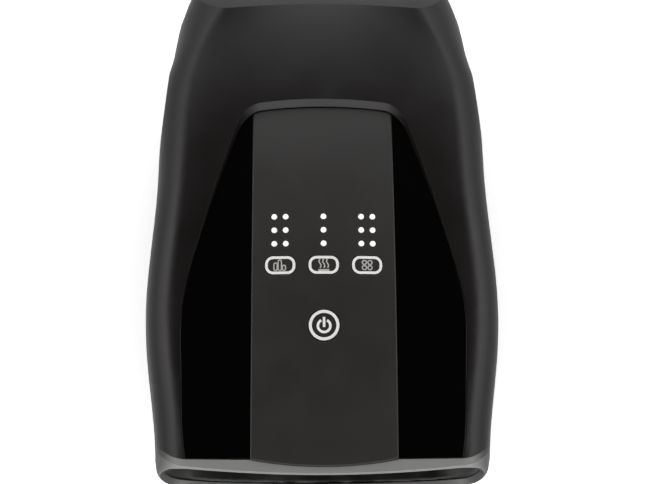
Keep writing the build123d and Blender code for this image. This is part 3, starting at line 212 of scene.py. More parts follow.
def moulded(name, tone, roughness, grain=0.35, relief=0.006, mottle=0.06, edge=0.6, ior=1.5):
    """A moulded surface: grain and relief in millimetres, and the radius of its rounded edges."""
    material = bpy.data.materials.new(name)
    material.use_nodes = True
    tree = material.node_tree
    shader = tree.nodes["Principled BSDF"]
    shader.inputs["IOR"].default_value = ior
    place = add_node(tree, "ShaderNodeTexCoord")
    cloud = add_node(
        tree, "ShaderNodeTexNoise", {"Scale": 1 / (CLOUD_SIZE * MM), "Detail": 3.0},
        {"Vector": place.outputs["Object"]},
    )
    fine = add_node(
        tree, "ShaderNodeTexNoise", {"Scale": 1 / (grain * MM), "Detail": 2.0},
        {"Vector": place.outputs["Object"]},
    )
    base = colour(tone)
    shader.inputs["Base Color"].default_value = base
    if mottle:
        shade = add_node(
            tree, "ShaderNodeMix",
            {
                "data_type": "RGBA",
                6: (*(c * (1 - mottle) for c in base[:3]), 1),
                7: (*(c * (1 + mottle) for c in base[:3]), 1),
            },
            {0: cloud.outputs["Fac"]},
        )
        tree.links.new(shade.outputs[2], shader.inputs["Base Color"])
    sheen = add_node(
        tree, "ShaderNodeMapRange",
        {
            "From Min": 0.3, "From Max": 0.7,
            "To Min": roughness * (1 - SHINE_SPREAD), "To Max": roughness * (1 + SHINE_SPREAD),
        },
        {"Value": cloud.outputs["Fac"]},
    )
    tree.links.new(sheen.outputs[0], shader.inputs["Roughness"])
    links = {"Height": fine.outputs["Fac"]}
    if edge:
        round_edge = add_node(
            tree, "ShaderNodeBevel", {"samples": EDGE_SAMPLES, "Radius": edge * MM}
        )
        links["Normal"] = round_edge.outputs[0]
    bump = add_node(
        tree, "ShaderNodeBump", {"Strength": GRAIN_STRENGTH, "Distance": relief * MM}, links
    )
    tree.links.new(bump.outputs[0], shader.inputs["Normal"])
    return material


def dress(material, *names):
    """Gives CAD nodes a finish."""
    for name in names:
        slots = nodes[name].data.materials
        slots.clear()
        slots.append(material)
        for face in nodes[name].data.polygons:
            face.material_index = 0


def eased(value, reach):
    """How far a value in metres has come between two limits in millimetres, from 0 to 1."""
    start, end = reach
    share = min(1.0, max(0.0, (value / MM - start) / (end - start)))
    return share * share * (3 - 2 * share)


def fuller(x, y, z):
    """A point of the housing moved outwards where its corners are fuller than the solids'."""
    rear = REAR_REACH * eased(y, REAR_ROWS) * eased(abs(x), REAR_SIDES) * eased(z, REAR_TOPS)
    front = FRONT_REACH * eased(y, FRONT_ROWS) * eased(abs(x), FRONT_SIDES)
    front *= eased(z, FRONT_TOPS) * eased(z, FRONT_FOOTS)
    return x + math.copysign((rear + front) * MM, x), y, z


def full_cornered(node_name, finish):
    """A moulding with its corners fuller than the solid's, as the photograph shows them."""
    source = nodes[node_name].data
    points = [fuller(*vertex.co) for vertex in source.vertices]
    shaped = bpy.data.meshes.new(f"{node_name}_shell")
    shaped.from_pydata(points, [], [tuple(face.vertices) for face in source.polygons])
    joined = bmesh.new()
    joined.from_mesh(shaped)
    bmesh.ops.remove_doubles(joined, verts=joined.verts, dist=WELD * MM)
    joined.to_mesh(shaped)
    joined.free()
    shaped.shade_smooth()
    shaped.set_sharp_from_angle(angle=SHARP_ANGLE)
    shaped.materials.append(finish)
    piece = bpy.data.objects.new(f"{node_name}_shell", shaped)
    scene.collection.objects.link(piece)
    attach(piece, "housing")
    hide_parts(node_name)


shell_abs = moulded("black ABS, moulded, satin grain", "#110e0d", 0.32, relief=0.004, ior=1.36)
full_cornered("bottom_cover", shell_abs)


# Feet: four discs of soft black rubber, pressed into round seats in the bottom cover.
# Moulded rubber is matt, with a coarse dry grain.
foot_rubber = moulded("black rubber, moulded", "#1b1b1b", 0.75, grain=0.5, relief=0.03, edge=0.4)
dress(foot_rubber, "front_right_foot", "front_left_foot", "rear_right_foot", "rear_left_foot")


# Boards: glass-fibre laminate under green solder mask, screwed to bosses.
# Copper tracks under the mask show as slightly raised, lighter lines.
TRACK_PITCH = 2.4
MASK_GREEN = "#174226"
TRACK_GREEN = "#2c6a3c"
mask = moulded(
    "green solder mask on laminate", MASK_GREEN, 0.28, grain=0.2, relief=0.004, mottle=0, edge=0.2
)
mask_tree = mask.node_tree
mask_place = add_node(mask_tree, "ShaderNodeTexCoord")
tracks = add_node(
    mask_tree, "ShaderNodeTexVoronoi",
    {"feature": "DISTANCE_TO_EDGE", "distance": "MANHATTAN", "Scale": 1 / (TRACK_PITCH * MM)},
    {"Vector": mask_place.outputs["Object"]},
)
track_line = add_node(
    mask_tree, "ShaderNodeMapRange",
    {"From Min": 0.06, "From Max": 0.1, "To Min": 1.0, "To Max": 0.0},
    {"Value": tracks.outputs["Distance"]},
)
mask_tone = add_node(
    mask_tree, "ShaderNodeMix",
    {"data_type": "RGBA", 6: colour(MASK_GREEN), 7: colour(TRACK_GREEN)},
    {0: track_line.outputs[0]},
)
mask_tree.links.new(
    mask_tone.outputs[2], mask_tree.nodes["Principled BSDF"].inputs["Base Color"]
)
dress(mask, "main_board", "control_board")


# Battery: two steel cells in a blue shrink sleeve, clipped into a moulded holder.
# The sleeve is glossy film, and the holder plain grey plastic.
sleeve = moulded(
    "blue shrink sleeve, glossy film", "#2a628f", 0.22, grain=3.0, relief=0.02, edge=0.6
)
holder_plastic = moulded("grey nylon, moulded", "#4b4a45", 0.5, grain=0.4, relief=0.01, edge=0.4)
dress(sleeve, "front_cell", "rear_cell")
dress(holder_plastic, "battery_holder")


# Charging socket: a folded steel shell on its own small board, behind the port in the rear wall.
# Bare plated steel: a metal with fine drawing lines.
METAL_EDGE = 0.2
METAL_WEAR = (0.8, 1.25)


def metal(name, tone, roughness, line=0.15, stretch=(1, 1, 12), relief=0.002):
    """A bare metal with fine lines: their spacing in millimetres and which way they run."""
    material = bpy.data.materials.new(name)
    material.use_nodes = True
    tree = material.node_tree
    shader = tree.nodes["Principled BSDF"]
    shader.inputs["Metallic"].default_value = 1.0
    shader.inputs["Base Color"].default_value = colour(tone)
    place = add_node(tree, "ShaderNodeTexCoord")
    along = add_node(
        tree, "ShaderNodeMapping", {"Scale": tuple(1 / s for s in stretch)},
        {"Vector": place.outputs["Object"]},
    )
    lines = add_node(
        tree, "ShaderNodeTexNoise", {"Scale": 1 / (line * MM), "Detail": 3.0},
        {"Vector": along.outputs[0]},
    )
    wear = add_node(
        tree, "ShaderNodeMapRange",
        {"To Min": roughness * METAL_WEAR[0], "To Max": roughness * METAL_WEAR[1]},
        {"Value": lines.outputs["Fac"]},
    )
    tree.links.new(wear.outputs[0], shader.inputs["Roughness"])
    round_edge = add_node(
        tree, "ShaderNodeBevel", {"samples": EDGE_SAMPLES, "Radius": METAL_EDGE * MM}
    )
    bump = add_node(
        tree, "ShaderNodeBump", {"Strength": 0.5, "Distance": relief * MM},
        {"Height": lines.outputs["Fac"], "Normal": round_edge.outputs[0]},
    )
    tree.links.new(bump.outputs[0], shader.inputs["Normal"])
    return material


socket_steel = metal("steel sheet, tin-plated", "#b5b7ba", 0.28)
dress(socket_steel, "charging_socket")


# Air pump and valves: a steel motor can, natural nylon mouldings and a brown rubber diaphragm,
# on one axis, with a brass crank inside. Two coil valves with iron cores stand beside it.
can_steel = metal("steel can, zinc-plated", "#8e9196", 0.3, stretch=(12, 1, 1))
nylon = moulded(
    "natural nylon, moulded", "#cfcabb", 0.45, grain=0.4, relief=0.01, mottle=0.04, edge=0.4
)
diaphragm_rubber = moulded(
    "brown rubber, moulded", "#6a3c2e", 0.6, grain=0.5, relief=0.02, edge=0.3
)
crank_brass = metal("brass, turned", "#b5953f", 0.25, stretch=(1, 12, 12))
cradle_rubber = moulded(
    "soft black rubber, moulded", "#2a2a2a", 0.7, grain=0.5, relief=0.02, edge=0.4
)
valve_nylon = moulded("dark blue nylon, moulded", "#1f2a3a", 0.4, grain=0.4, relief=0.01, edge=0.4)
core_iron = metal("soft iron, ground", "#7d7f83", 0.35)
dress(can_steel, "pump_motor")
dress(nylon, "pump_frame", "pump_rocker", "pump_cap", "air_manifold")
dress(diaphragm_rubber, "pump_diaphragm")
dress(crank_brass, "pump_crank")
dress(cradle_rubber, "pump_cradle")
dress(valve_nylon, "palm_valve", "finger_valve")
dress(core_iron, "palm_valve_core", "finger_valve_core")


# Tubes and leads: translucent silicone tubes push onto the spouts, and insulated leads join the
# boards. Silicone is waxy, with a slight grip, and the leads are smooth red plastic.
silicone = moulded(
    "silicone tube, extruded", "#cfccc2", 0.4, grain=1.5, relief=0.01, mottle=0.03, edge=0
)
silicone_shader = silicone.node_tree.nodes["Principled BSDF"]
silicone_shader.inputs["Subsurface Weight"].default_value = 0.3
silicone_shader.inputs["Subsurface Radius"].default_value = [1 * MM] * 3
lead_jacket = moulded("red lead jacket, extruded", "#9a3026", 0.38, grain=1.0, relief=0.006, edge=0)
dress(silicone, "riser_tubes", "finger_bag_tube", "palm_bag_tube")
dress(lead_jacket, "control_lead", "battery_lead", "pump_lead")


# Palm plate: a dark moulded plate with rows of round knobs, screwed down over the cells.
# An amber heating film lies on it, pierced for the knobs.
plate_plastic = moulded(
    "dark grey ABS, moulded plate", "#3a3836", 0.45, grain=0.4, relief=0.01, edge=0.4
)
film = moulded("amber heating film", "#a9692a", 0.25, grain=4.0, relief=0.02, mottle=0.12, edge=0.1)
dress(plate_plastic, "palm_plate")
dress(film, "heating_film")


# Bag frame and air bags: the frame closes the pocket's roof, and two bags of coated sheet hang
# under it. Filled with air they press the pads down, so their pleated sides stretch.
BAG_CORNER = 10.0
BAG_LIP = 2.6
BAG_PLEAT = 1.1
BAG_LEVELS = 9
PLEATS = 2


def outline(half_x, half_y, corner, arc, along_x, along_y):
    """Points round a rounded rectangle about the origin: steps a corner, and steps a side."""
    points = []
    corners = ((1, 1), (-1, 1), (-1, -1), (1, -1))
    for place, (sx, sy) in enumerate(corners):
        centre = Vector((sx * (half_x - corner), sy * (half_y - corner)))
        for i in range(arc + 1):
            angle = math.pi / 2 * (place + i / arc)
            out = corner * Vector((math.cos(angle), math.sin(angle)))
            points.append(centre + out)
        nx, ny = corners[(place + 1) % 4]
        run = Vector((nx * (half_x - corner), ny * (half_y - corner))) - centre
        count = along_x if place % 2 == 0 else along_y
        points.extend(centre + out + run * i / count for i in range(1, count))
    return points


def new_piece(name, points, faces, material, body):
    """A mesh piece from points in metres, with its finish, on the body that carries it."""
    mesh = bpy.data.meshes.new(name)
    mesh.from_pydata(points, [], faces)
    mesh.validate()
    piece = bpy.data.objects.new(name, mesh)
    scene.collection.objects.link(piece)
    mesh.materials.append(material)
    for face in mesh.polygons:
        face.use_smooth = True
    if body:
        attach(piece, body)
    return piece


def stacked(loops, close_ends=True):
    """Points and faces of closed loops of equal length, one above the other."""
    count = len(loops[0])
    points = [point for loop in loops for point in loop]
    faces = []
    for row in range(len(loops) - 1):
        for i in range(count):
            j = (i + 1) % count
            a, b = row * count, (row + 1) * count
            faces.append((a + i, a + j, b + j, b + i))
    if close_ends:
        faces.append(tuple(reversed(range(count))))
        last = (len(loops) - 1) * count
        faces.append(tuple(last + i for i in range(count)))
    return points, faces


frame_plastic = moulded(
    "dark grey ABS, moulded frame", "#46443f", 0.48, grain=0.4, relief=0.01, edge=0.4
)
dress(frame_plastic, "bag_frame")
bag_sheet = moulded(
    "dark grey polyurethane-coated bag sheet", "#353437", 0.45, grain=0.6, relief=0.03, edge=0
)
for side in ("palm", "finger"):
    low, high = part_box(f"{side}_bag")
    middle = (Vector(low) + Vector(high)) / 2
    half_x = (high[0] - low[0]) / 2 / MM
    half_y = (high[1] - low[1]) / 2 / MM
    loops = []
    for row in range(BAG_LEVELS + 1):
        share = row / BAG_LEVELS
        edge_in = BAG_LIP if row in (0, BAG_LEVELS) else 0.0
        inset = edge_in + BAG_PLEAT * (0.5 - 0.5 * math.cos(2 * math.pi * PLEATS * share))
        z = low[2] + (high[2] - low[2]) * share
        ring = outline(half_x - inset, half_y - inset, BAG_CORNER - inset, 6, 30, 26)
        loops.append([(middle.x + p.x * MM, middle.y + p.y * MM, z) for p in ring])
    points, faces = stacked(loops)
    bag = new_piece(f"{side}_air_bag", points, faces, bag_sheet, None)
    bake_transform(bag)
    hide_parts(f"{side}_bag")


# Pads: foam under black stretch fabric, welded round the rim, which the bags push down on the hand.
# Each is blown up as cloth from a flat blank, then quilted across, and its rim is piped.
THREAD = 0.45
PAD_CORNER = 12
PAD_BLANK_IN = 1.0
PAD_RINGS = ((3.2, -0.5), (0.6, -0.42), (0.0, 0.0), (0.6, 0.42), (3.2, 0.5))
PAD_VOXEL = 2.0
PAD_SWELL = 1.0
PAD_FRAMES = 16
PAD_PRESSURE = 4.0
PAD_QUALITY = 5
PIPING = 0.75
QUILT_DEPTH = 0.55
QUILT_BANDS = 4
QUILT_WIDTH = 1.6
QUILT_FADE = 4
CLOTH_SHEEN = "#c9c9cc"


def woven(name, tone, pale, thread, roughness, relief, blotch, sheen):
    """A woven cloth: thread spacing, relief and the size of its soft blotches in millimetres; the
    blotches' paler tone is painted sheen.
    """
    material = bpy.data.materials.new(name)
    material.use_nodes = True
    tree = material.node_tree
    shader = tree.nodes["Principled BSDF"]
    shader.inputs["Sheen Weight"].default_value = sheen
    shader.inputs["Sheen Roughness"].default_value = 0.35
    shader.inputs["Sheen Tint"].default_value = colour(CLOTH_SHEEN)
    shader.inputs["Roughness"].default_value = roughness
    shader.inputs["IOR"].default_value = 1.46
    place = add_node(tree, "ShaderNodeTexCoord")
    cloud = add_node(
        tree, "ShaderNodeTexNoise", {"Scale": 1 / (blotch * MM), "Detail": 3.0},
        {"Vector": place.outputs["Object"]},
    )
    soft = add_node(
        tree, "ShaderNodeMapRange", {"From Min": 0.42, "From Max": 0.68},
        {"Value": cloud.outputs["Fac"]},
    )
    # Painted sheen: soft blotches of the paler tone are mixed into the cloth's colour.
    shade = add_node(
        tree, "ShaderNodeMix", {"data_type": "RGBA", 6: colour(tone), 7: colour(pale)},
        {0: soft.outputs[0]},
    )
    tree.links.new(shade.outputs[2], shader.inputs["Base Color"])
    bands = 2 * math.pi / (20 * thread * MM)
    threads = [
        add_node(
            tree, "ShaderNodeTexWave",
            {"bands_direction": axis, "Scale": bands, "Distortion": 0.4, "Detail": 1.0},
            {"Vector": place.outputs["Object"]},
        )
        for axis in ("X", "Y", "Z")
    ]
    flat_threads = add_node(
        tree, "ShaderNodeMath", {"operation": "MAXIMUM"},
        {0: threads[0].outputs["Fac"], 1: threads[1].outputs["Fac"]},
    )
    all_threads = add_node(
        tree, "ShaderNodeMath", {"operation": "ADD"},
        {0: flat_threads.outputs[0], 1: threads[2].outputs["Fac"]},
    )
    bump = add_node(
        tree, "ShaderNodeBump", {"Strength": 0.7, "Distance": relief * MM},
        {"Height": all_threads.outputs[0]},
    )
    tree.links.new(bump.outputs[0], shader.inputs["Normal"])
    return material


def beaded(ring, radius, around=8):
    """Points and faces of a round bead along a closed ring of points, in metres."""
    loops = []
    count = len(ring)
    for i, point in enumerate(ring):
        along = (ring[(i + 1) % count] - ring[i - 1]).normalized()
        side = along.cross(Vector((0, 0, 1))).normalized()
        up = side.cross(along)
        loops.append(
            [
                point + radius * (math.cos(a) * side + math.sin(a) * up)
                for a in (2 * math.pi * k / around for k in range(around))
            ]
        )
    points, faces = stacked(loops, close_ends=False)
    last = (count - 1) * around
    for k in range(around):
        m = (k + 1) % around
        faces.append((last + k, last + m, m, k))
    return points, faces


pad_cloth = woven("black stretch knit over foam", "#171717", "#242424", THREAD, 0.6, 0.05, 22, 0.35)
for side in ("palm", "finger"):
    low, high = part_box(f"{side}_pad")
    middle = (Vector(low) + Vector(high)) / 2
    half_x = (high[0] - low[0]) / 2 / MM
    half_y = (high[1] - low[1]) / 2 / MM
    thick = (high[2] - low[2]) / MM
    loops = []
    for inset, rise in PAD_RINGS:
        blank_x = half_x - PAD_BLANK_IN - inset
        blank_y = half_y - PAD_BLANK_IN - inset
        ring = outline(blank_x, blank_y, PAD_CORNER - inset, 8, 30, 30)
        z = middle.z + rise * (thick - 2 * PAD_SWELL) * MM
        loops.append([(middle.x + p.x * MM, middle.y + p.y * MM, z) for p in ring])
    points, faces = stacked(loops)
    pad = new_piece(f"{side}_cushion", points, faces, pad_cloth, None)
    remesh = pad.modifiers.new("even", "REMESH")
    remesh.mode = "VOXEL"
    remesh.voxel_size = PAD_VOXEL * MM
    graph = bpy.context.evaluated_depsgraph_get()
    blank = bpy.data.meshes.new_from_object(pad.evaluated_get(graph))
    pad.modifiers.clear()
    pad.data = blank
    start_at = [vertex.co.copy() for vertex in blank.vertices]
    cloth = pad.modifiers.new("blown", "CLOTH")
    cloth.settings.use_pressure = True
    cloth.settings.uniform_pressure_force = PAD_PRESSURE
    cloth.settings.effector_weights.gravity = 0
    cloth.settings.quality = PAD_QUALITY
    for step in range(1, PAD_FRAMES + 1):
        scene.frame_set(step)
    graph = bpy.context.evaluated_depsgraph_get()
    blown = bpy.data.meshes.new_from_object(pad.evaluated_get(graph))
    pad.modifiers.clear()
    scene.frame_set(1)
    for vertex, was in zip(blown.vertices, start_at):
        move = vertex.co - was
        if move.length > PAD_SWELL * MM:
            vertex.co = was + move.normalized() * PAD_SWELL * MM
    pad.data = blown
    for vertex in pad.data.vertices:
        across_pad = (vertex.co.y - middle.y) / MM
        pitch = 2 * half_y / QUILT_BANDS
        nearest = abs((across_pad + half_y) % pitch - pitch / 2)
        groove = math.exp(-((pitch / 2 - nearest) / QUILT_WIDTH) ** 2)
        from_rim = half_x - abs(vertex.co.x) / MM
        inside_rim = min(1.0, max(0.0, (from_rim - QUILT_FADE) / QUILT_FADE))
        push = QUILT_DEPTH * groove * inside_rim * MM
        if abs(across_pad) < half_y - pitch / 2:
            vertex.co.z += push if vertex.co.z < middle.z else -push
        for axis in range(3):
            vertex.co[axis] = min(max(vertex.co[axis], low[axis]), high[axis])
    smoothing = pad.modifiers.new("fine", "SUBSURF")
    smoothing.levels = 1
    smoothing.render_levels = 1
    pad.data.materials.clear()
    pad.data.materials.append(pad_cloth)
    for face in pad.data.polygons:
        face.use_smooth = True
    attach(pad, f"{side}_press")
    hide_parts(f"{side}_pad")
    rim = [
        Vector((middle.x + p.x * MM, middle.y + p.y * MM, middle.z))
        for p in outline(half_x - PIPING, half_y - PIPING, PAD_CORNER - PIPING, 12, 50, 50)
    ]
    points, faces = beaded(rim, PIPING * MM)
    new_piece(f"{side}_cushion_piping", points, faces, pad_cloth, f"{side}_press")


# Hand liner: a pocket of thin black satin over foam, stretched between the mouth and the bag frame.
# It wrinkles near the mouth, lies down between the knobs, and is hemmed and stitched at its edges.
LINER_STEP = 1.6
LINER_MIDDLE = 48 * MM
LINER_CORNER = 12
LINER_HALF_X = 57
LINER_HALF_Z = 16.6
LINER_PIPING = 0.6
ROOF_PROBE = 0.049
REAR_PROBE = (0.05, 0.04)
REAR_STEPS = 12
REAR_GAP = 0.7
REAR_PUFF = 0.5
REAR_PUFF_SIZE = 0.02
REAR_CENTRE_SHARE = 0.02
PROBE_STEP = 0.5
PROBE_MARGIN = 1
START_STEP = 0.25
END_GAP = 0.3
ROOF_IN = 2
ROOF_RISE = 0.2
MOUTH_REACH = 34
MOUTH_CLEAR = 8
WALL_DEPTH = 0.8
FOLD_DEPTH = 0.62
FOLD_LEAST = 0.35
FOLDS = ((1.1, 9.0, 0.030, 3.1), (0.6, 26.0, 0.016, 7.7))
SATIN_THICKNESS = 0.25
UP = Vector((0, 0, 1))
KNOB_PITCH = 19.0
KNOB_MIDDLE_Y = -9.0
KNOB_ROWS = 6
KNOB_COLUMNS = 4
KNOB_SPREAD = 5.2
KNOB_SKIN = 0.1
KNOB_SINK = 1.35
KNOB_SIDE = 0.05
FLOOR_LEAN = -0.2
WINDOW_GAP = 0.8
WINDOW_REACH = 4
STITCH = 2.6
STITCH_PITCH = 3.9
STITCH_RADIUS = 0.26
STITCH_LIFT = 0.12
STITCH_ROWS = (3, 5)
STITCH_SHAPE = ((0.0, 0.25), (0.12, 0.8), (0.5, 1.0), (0.88, 0.8), (1.0, 0.25))


def surface_of(name):
    """The surface of a CAD node, to drop points on."""
    joined = bmesh.new()
    joined.from_mesh(nodes[name].data)
    surface = BVHTree.FromBMesh(joined)
    joined.free()
    return surface


# The satin's paler tone, in soft blotches, is painted sheen.
satin = woven("black satin weave over foam", "#151515", "#3a3a3b", 0.5, 0.42, 0.035, 26, 0.5)
liner_wall = surface_of("hand_liner")
windows = []
for side in ("palm", "finger"):
    low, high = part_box(f"{side}_pad")
    windows.append(
        (
            (low[1] + high[1]) / 2 / MM,
            (high[0] - low[0]) / 2 / MM + WINDOW_GAP,
            (high[1] - low[1]) / 2 / MM + WINDOW_GAP,
        )
    )


def wall_hit(origin, towards):
    """Where a line from the pocket's middle meets the liner's inner face, or None."""
    return liner_wall.ray_cast(origin, towards)[0]


def section_at(y):
    """The middle height, half width and half height of the pocket, a distance along it."""
    roof_point = wall_hit(Vector((ROOF_PROBE, y, LINER_MIDDLE)), UP)
    floor_point = wall_hit(Vector((0.0, y, LINER_MIDDLE)), -UP)
    middle_z = (roof_point.z + floor_point.z) / 2
    side_point = wall_hit(Vector((0, y, middle_z)), Vector((1, 0, 0)))
    return middle_z, side_point.x, roof_point.z - middle_z


rear_face = wall_hit(Vector((*REAR_PROBE, LINER_MIDDLE)), Vector((0, 1, 0))).y
front_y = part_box("hand_liner")[0][1]
whole_y = front_y
while wall_hit(Vector((ROOF_PROBE, whole_y, LINER_MIDDLE)), UP) is None:
    whole_y += PROBE_STEP * MM
whole_y += PROBE_MARGIN * MM
flat_roof = wall_hit(Vector((0, rear_face - ROOF_IN * MM, LINER_MIDDLE)), UP).z
plan = outline(LINER_HALF_X, LINER_HALF_Z, LINER_CORNER, 10, 62, 16)
ring_count = len(plan)


def liner_point(place, y):
    """Where column number place of the liner meets the foam wall at y, and the way it looks out."""
    middle_z, half_x, half_z = section_at(max(y, whole_y))
    p = plan[place]
    target = Vector((p.x / LINER_HALF_X * half_x, 0, p.y / LINER_HALF_Z * half_z))
    towards = target.normalized()
    hit = wall_hit(Vector((0, y, middle_z)), towards)
    window_start = windows[0][0] * MM - windows[0][2] * MM
    if hit is not None and hit.z > flat_roof + ROOF_RISE * MM and y > window_start:
        hit = None
    return hit, towards, Vector((target.x, y, middle_z + target.z))


rows = round((rear_face - front_y) / (LINER_STEP * MM))
columns = []
for place in range(ring_count):
    start_y = front_y
    while liner_point(place, start_y)[0] is None:
        start_y += START_STEP * MM
    start_y += END_GAP * MM
    run = rear_face - END_GAP * MM - start_y
    steps = [start_y + run * row / (rows - 1) for row in range(rows)]
    columns.append([liner_point(place, y) for y in steps])
grid = [[columns[place][row] for place in range(ring_count)] for row in range(rows)]


def fold_at(walk, y):
    """How the satin stands out of its middle depth, from -1 to 1."""
    return sum(
        strength * noise.noise(Vector((walk * count, y / length, level)))
        for strength, count, length, level in FOLDS
    )


points = []
faces = []
where = {}
for row, line in enumerate(grid):
    for i, (hit, towards, plain) in enumerate(line):
        y = plain.y
        walk = i / ring_count
        angle = 2 * math.pi * walk
        near_mouth = math.exp(-(((y - front_y) / MM) / MOUTH_REACH) ** 2)
        fold = fold_at(math.cos(angle), y) + 0.5 * fold_at(math.sin(angle) + 5, y)
        fullness = FOLD_LEAST + (1 - FOLD_LEAST) * near_mouth
        depth = WALL_DEPTH - FOLD_DEPTH * max(-1.0, min(1.0, fold)) * fullness
        base = hit if hit is not None else plain
        if towards.z < FLOOR_LEAN and abs(base.x) < KNOB_SIDE:
            column = (abs(base.x) / MM / KNOB_PITCH) % 1 - 0.5
            step_y = ((y / MM - KNOB_MIDDLE_Y) / KNOB_PITCH) % 1 - 0.5
            away = math.hypot(column, step_y) * KNOB_PITCH
            in_rows = abs(y / MM - KNOB_MIDDLE_Y) < KNOB_ROWS * KNOB_PITCH / 2
            in_columns = abs(base.x) / MM < KNOB_COLUMNS * KNOB_PITCH / 2
            if in_rows and in_columns:
                bump = math.exp(-((away / KNOB_SPREAD) ** 2))
                depth = KNOB_SKIN + (KNOB_SINK - 0.2 * fold) * (1 - bump)
        outward = Vector((towards.x, 0, towards.z))
        point = Vector(fuller(*(base + outward * depth * MM)))
        where[(row, i)] = len(points)
        points.append(point)
for row in range(rows - 1):
    for i in range(ring_count):
        j = (i + 1) % ring_count
        corners = [(row, i), (row, j), (row + 1, j), (row + 1, i)]
        hits = [grid[r][c][0] for r, c in corners]
        if any(h is None for h in hits):
            continue
        faces.append(tuple(where[c] for c in corners))
last_line = [points[where[(rows - 1, i)]] for i in range(ring_count)]
middle = sum(last_line, Vector()) / ring_count
before = [where[(rows - 1, i)] for i in range(ring_count)]
for step in range(1, REAR_STEPS + 1):
    share = 1 - step / REAR_STEPS
    current = []
    for i in range(ring_count):
        flat = middle + (last_line[i] - middle) * max(share, REAR_CENTRE_SHARE)
        spot = Vector((flat.x / REAR_PUFF_SIZE, flat.z / REAR_PUFF_SIZE, 2.2))
        puff = REAR_PUFF * noise.noise(spot)
        rear_y = rear_face + (REAR_GAP + puff) * MM * min(1, step / 2)
        current.append(len(points))
        points.append(Vector((flat.x, rear_y, flat.z)))
    for i in range(ring_count):
        j = (i + 1) % ring_count
        faces.append((before[i], before[j], current[j], current[i]))
    before = current
faces.append(tuple(before))

used = sorted({v for face in faces for v in face})
renumber = {old: new for new, old in enumerate(used)}
points = [points[v] for v in used]
faces = [tuple(renumber[v] for v in face) for face in faces]
edge_uses = {}
for face in faces:
    for a, b in zip(face, face[1:] + face[:1]):
        key = (min(a, b), max(a, b))
        edge_uses[key] = edge_uses.get(key, 0) + 1
open_points = {v for edge, uses in edge_uses.items() if uses == 1 for v in edge}
for v in open_points:
    point = points[v]
    if point.y < whole_y + MOUTH_CLEAR * MM:
        continue
    for middle_y, half_x, half_y in windows:
        flat = Vector((point.x / MM, point.y / MM))
        if abs(flat.y - middle_y) > half_y + WINDOW_REACH:
            continue
        core_x = half_x - LINER_CORNER
        core_y = half_y - LINER_CORNER
        core = Vector(
            (
                max(-core_x, min(core_x, flat.x)),
                middle_y + max(-core_y, min(core_y, flat.y - middle_y)),
            )
        )
        reach = flat - core
        if reach.length > 1e-6:
            flat = core + reach.normalized() * LINER_CORNER
        points[v] = Vector((flat.x * MM, flat.y * MM, point.z))
liner_points = points
liner = new_piece("satin_liner", liner_points, faces, satin, "housing")
thick = liner.modifiers.new("cloth thickness", "SOLIDIFY")
thick.thickness = SATIN_THICKNESS * MM
thick.offset = 0
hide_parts("hand_liner")

for side, (middle_y, half_x, half_y) in zip(("palm", "finger"), windows):
    ring = []
    for p in outline(half_x, half_y, LINER_CORNER, 12, 50, 50):
        roof_side = wall_hit(Vector((ROOF_PROBE, (middle_y + p.y) * MM, LINER_MIDDLE)), UP)
        ring.append(Vector((p.x * MM, (middle_y + p.y) * MM, roof_side.z + LINER_PIPING * MM)))
    points, faces = beaded(ring, LINER_PIPING * MM)
    new_piece(f"{side}_window_piping", points, faces, satin, "housing")

thread = woven("black polyester sewing thread", "#2b2b2b", "#3d3d3d", 0.3, 0.5, 0.03, 10, 0.3)
stitch_points = []
stitch_faces = []
for seam_row in STITCH_ROWS:
    line = [liner_points[renumber[where[(seam_row, i)]]] for i in range(ring_count)]
    lengths = [0.0]
    for i in range(ring_count):
        lengths.append(lengths[-1] + (line[(i + 1) % ring_count] - line[i]).length)
    number = round(lengths[-1] / (STITCH_PITCH * MM))

    def along_seam(at):
        """The point of the seam so far along it."""
        for i in range(ring_count):
            if lengths[i + 1] >= at:
                share = (at - lengths[i]) / max(lengths[i + 1] - lengths[i], 1e-9)
                return line[i].lerp(line[(i + 1) % ring_count], share)
        return line[0]

    seam_middle = sum(line, Vector()) / ring_count
    for k in range(number):
        at = lengths[-1] * k / number
        a = along_seam(at)
        b = along_seam(min(at + STITCH * MM, lengths[-1]))
        along = (b - a).normalized()
        inward = (seam_middle - a).normalized()
        inward = (inward - along * inward.dot(along)).normalized()
        side = along.cross(inward)
        loops = []
        for share, swell in STITCH_SHAPE:
            lift = STITCH_LIFT + STITCH_LIFT * math.sin(math.pi * share)
            spot = a.lerp(b, share) + inward * lift * MM
            loops.append(
                [
                    spot + swell * STITCH_RADIUS * MM * (math.cos(t) * side + math.sin(t) * inward)
                    for t in (math.pi * q / 3 for q in range(6))
                ]
            )
        some_points, some_faces = stacked(loops)
        shift = len(stitch_points)
        stitch_points.extend(some_points)
        stitch_faces.extend(tuple(v + shift for v in face) for face in some_faces)
new_piece("liner_stitches", stitch_points, stitch_faces, thread, "housing")


# Top cover: the crowned roof of the housing, moulded like the bottom cover, with bosses under it.
# It snaps over the tongue of the tray and is screwed from below.
full_cornered("top_cover", shell_abs)


# Screws: round-headed, zinc-plated steel, into the bosses.
# Plated steel is bright but soft in its reflections.
screw_steel = metal("steel screws, zinc-plated", "#a9acb0", 0.3, stretch=(1, 1, 1))
dress(screw_steel, "board_screws", "frame_screws", "closing_screws")
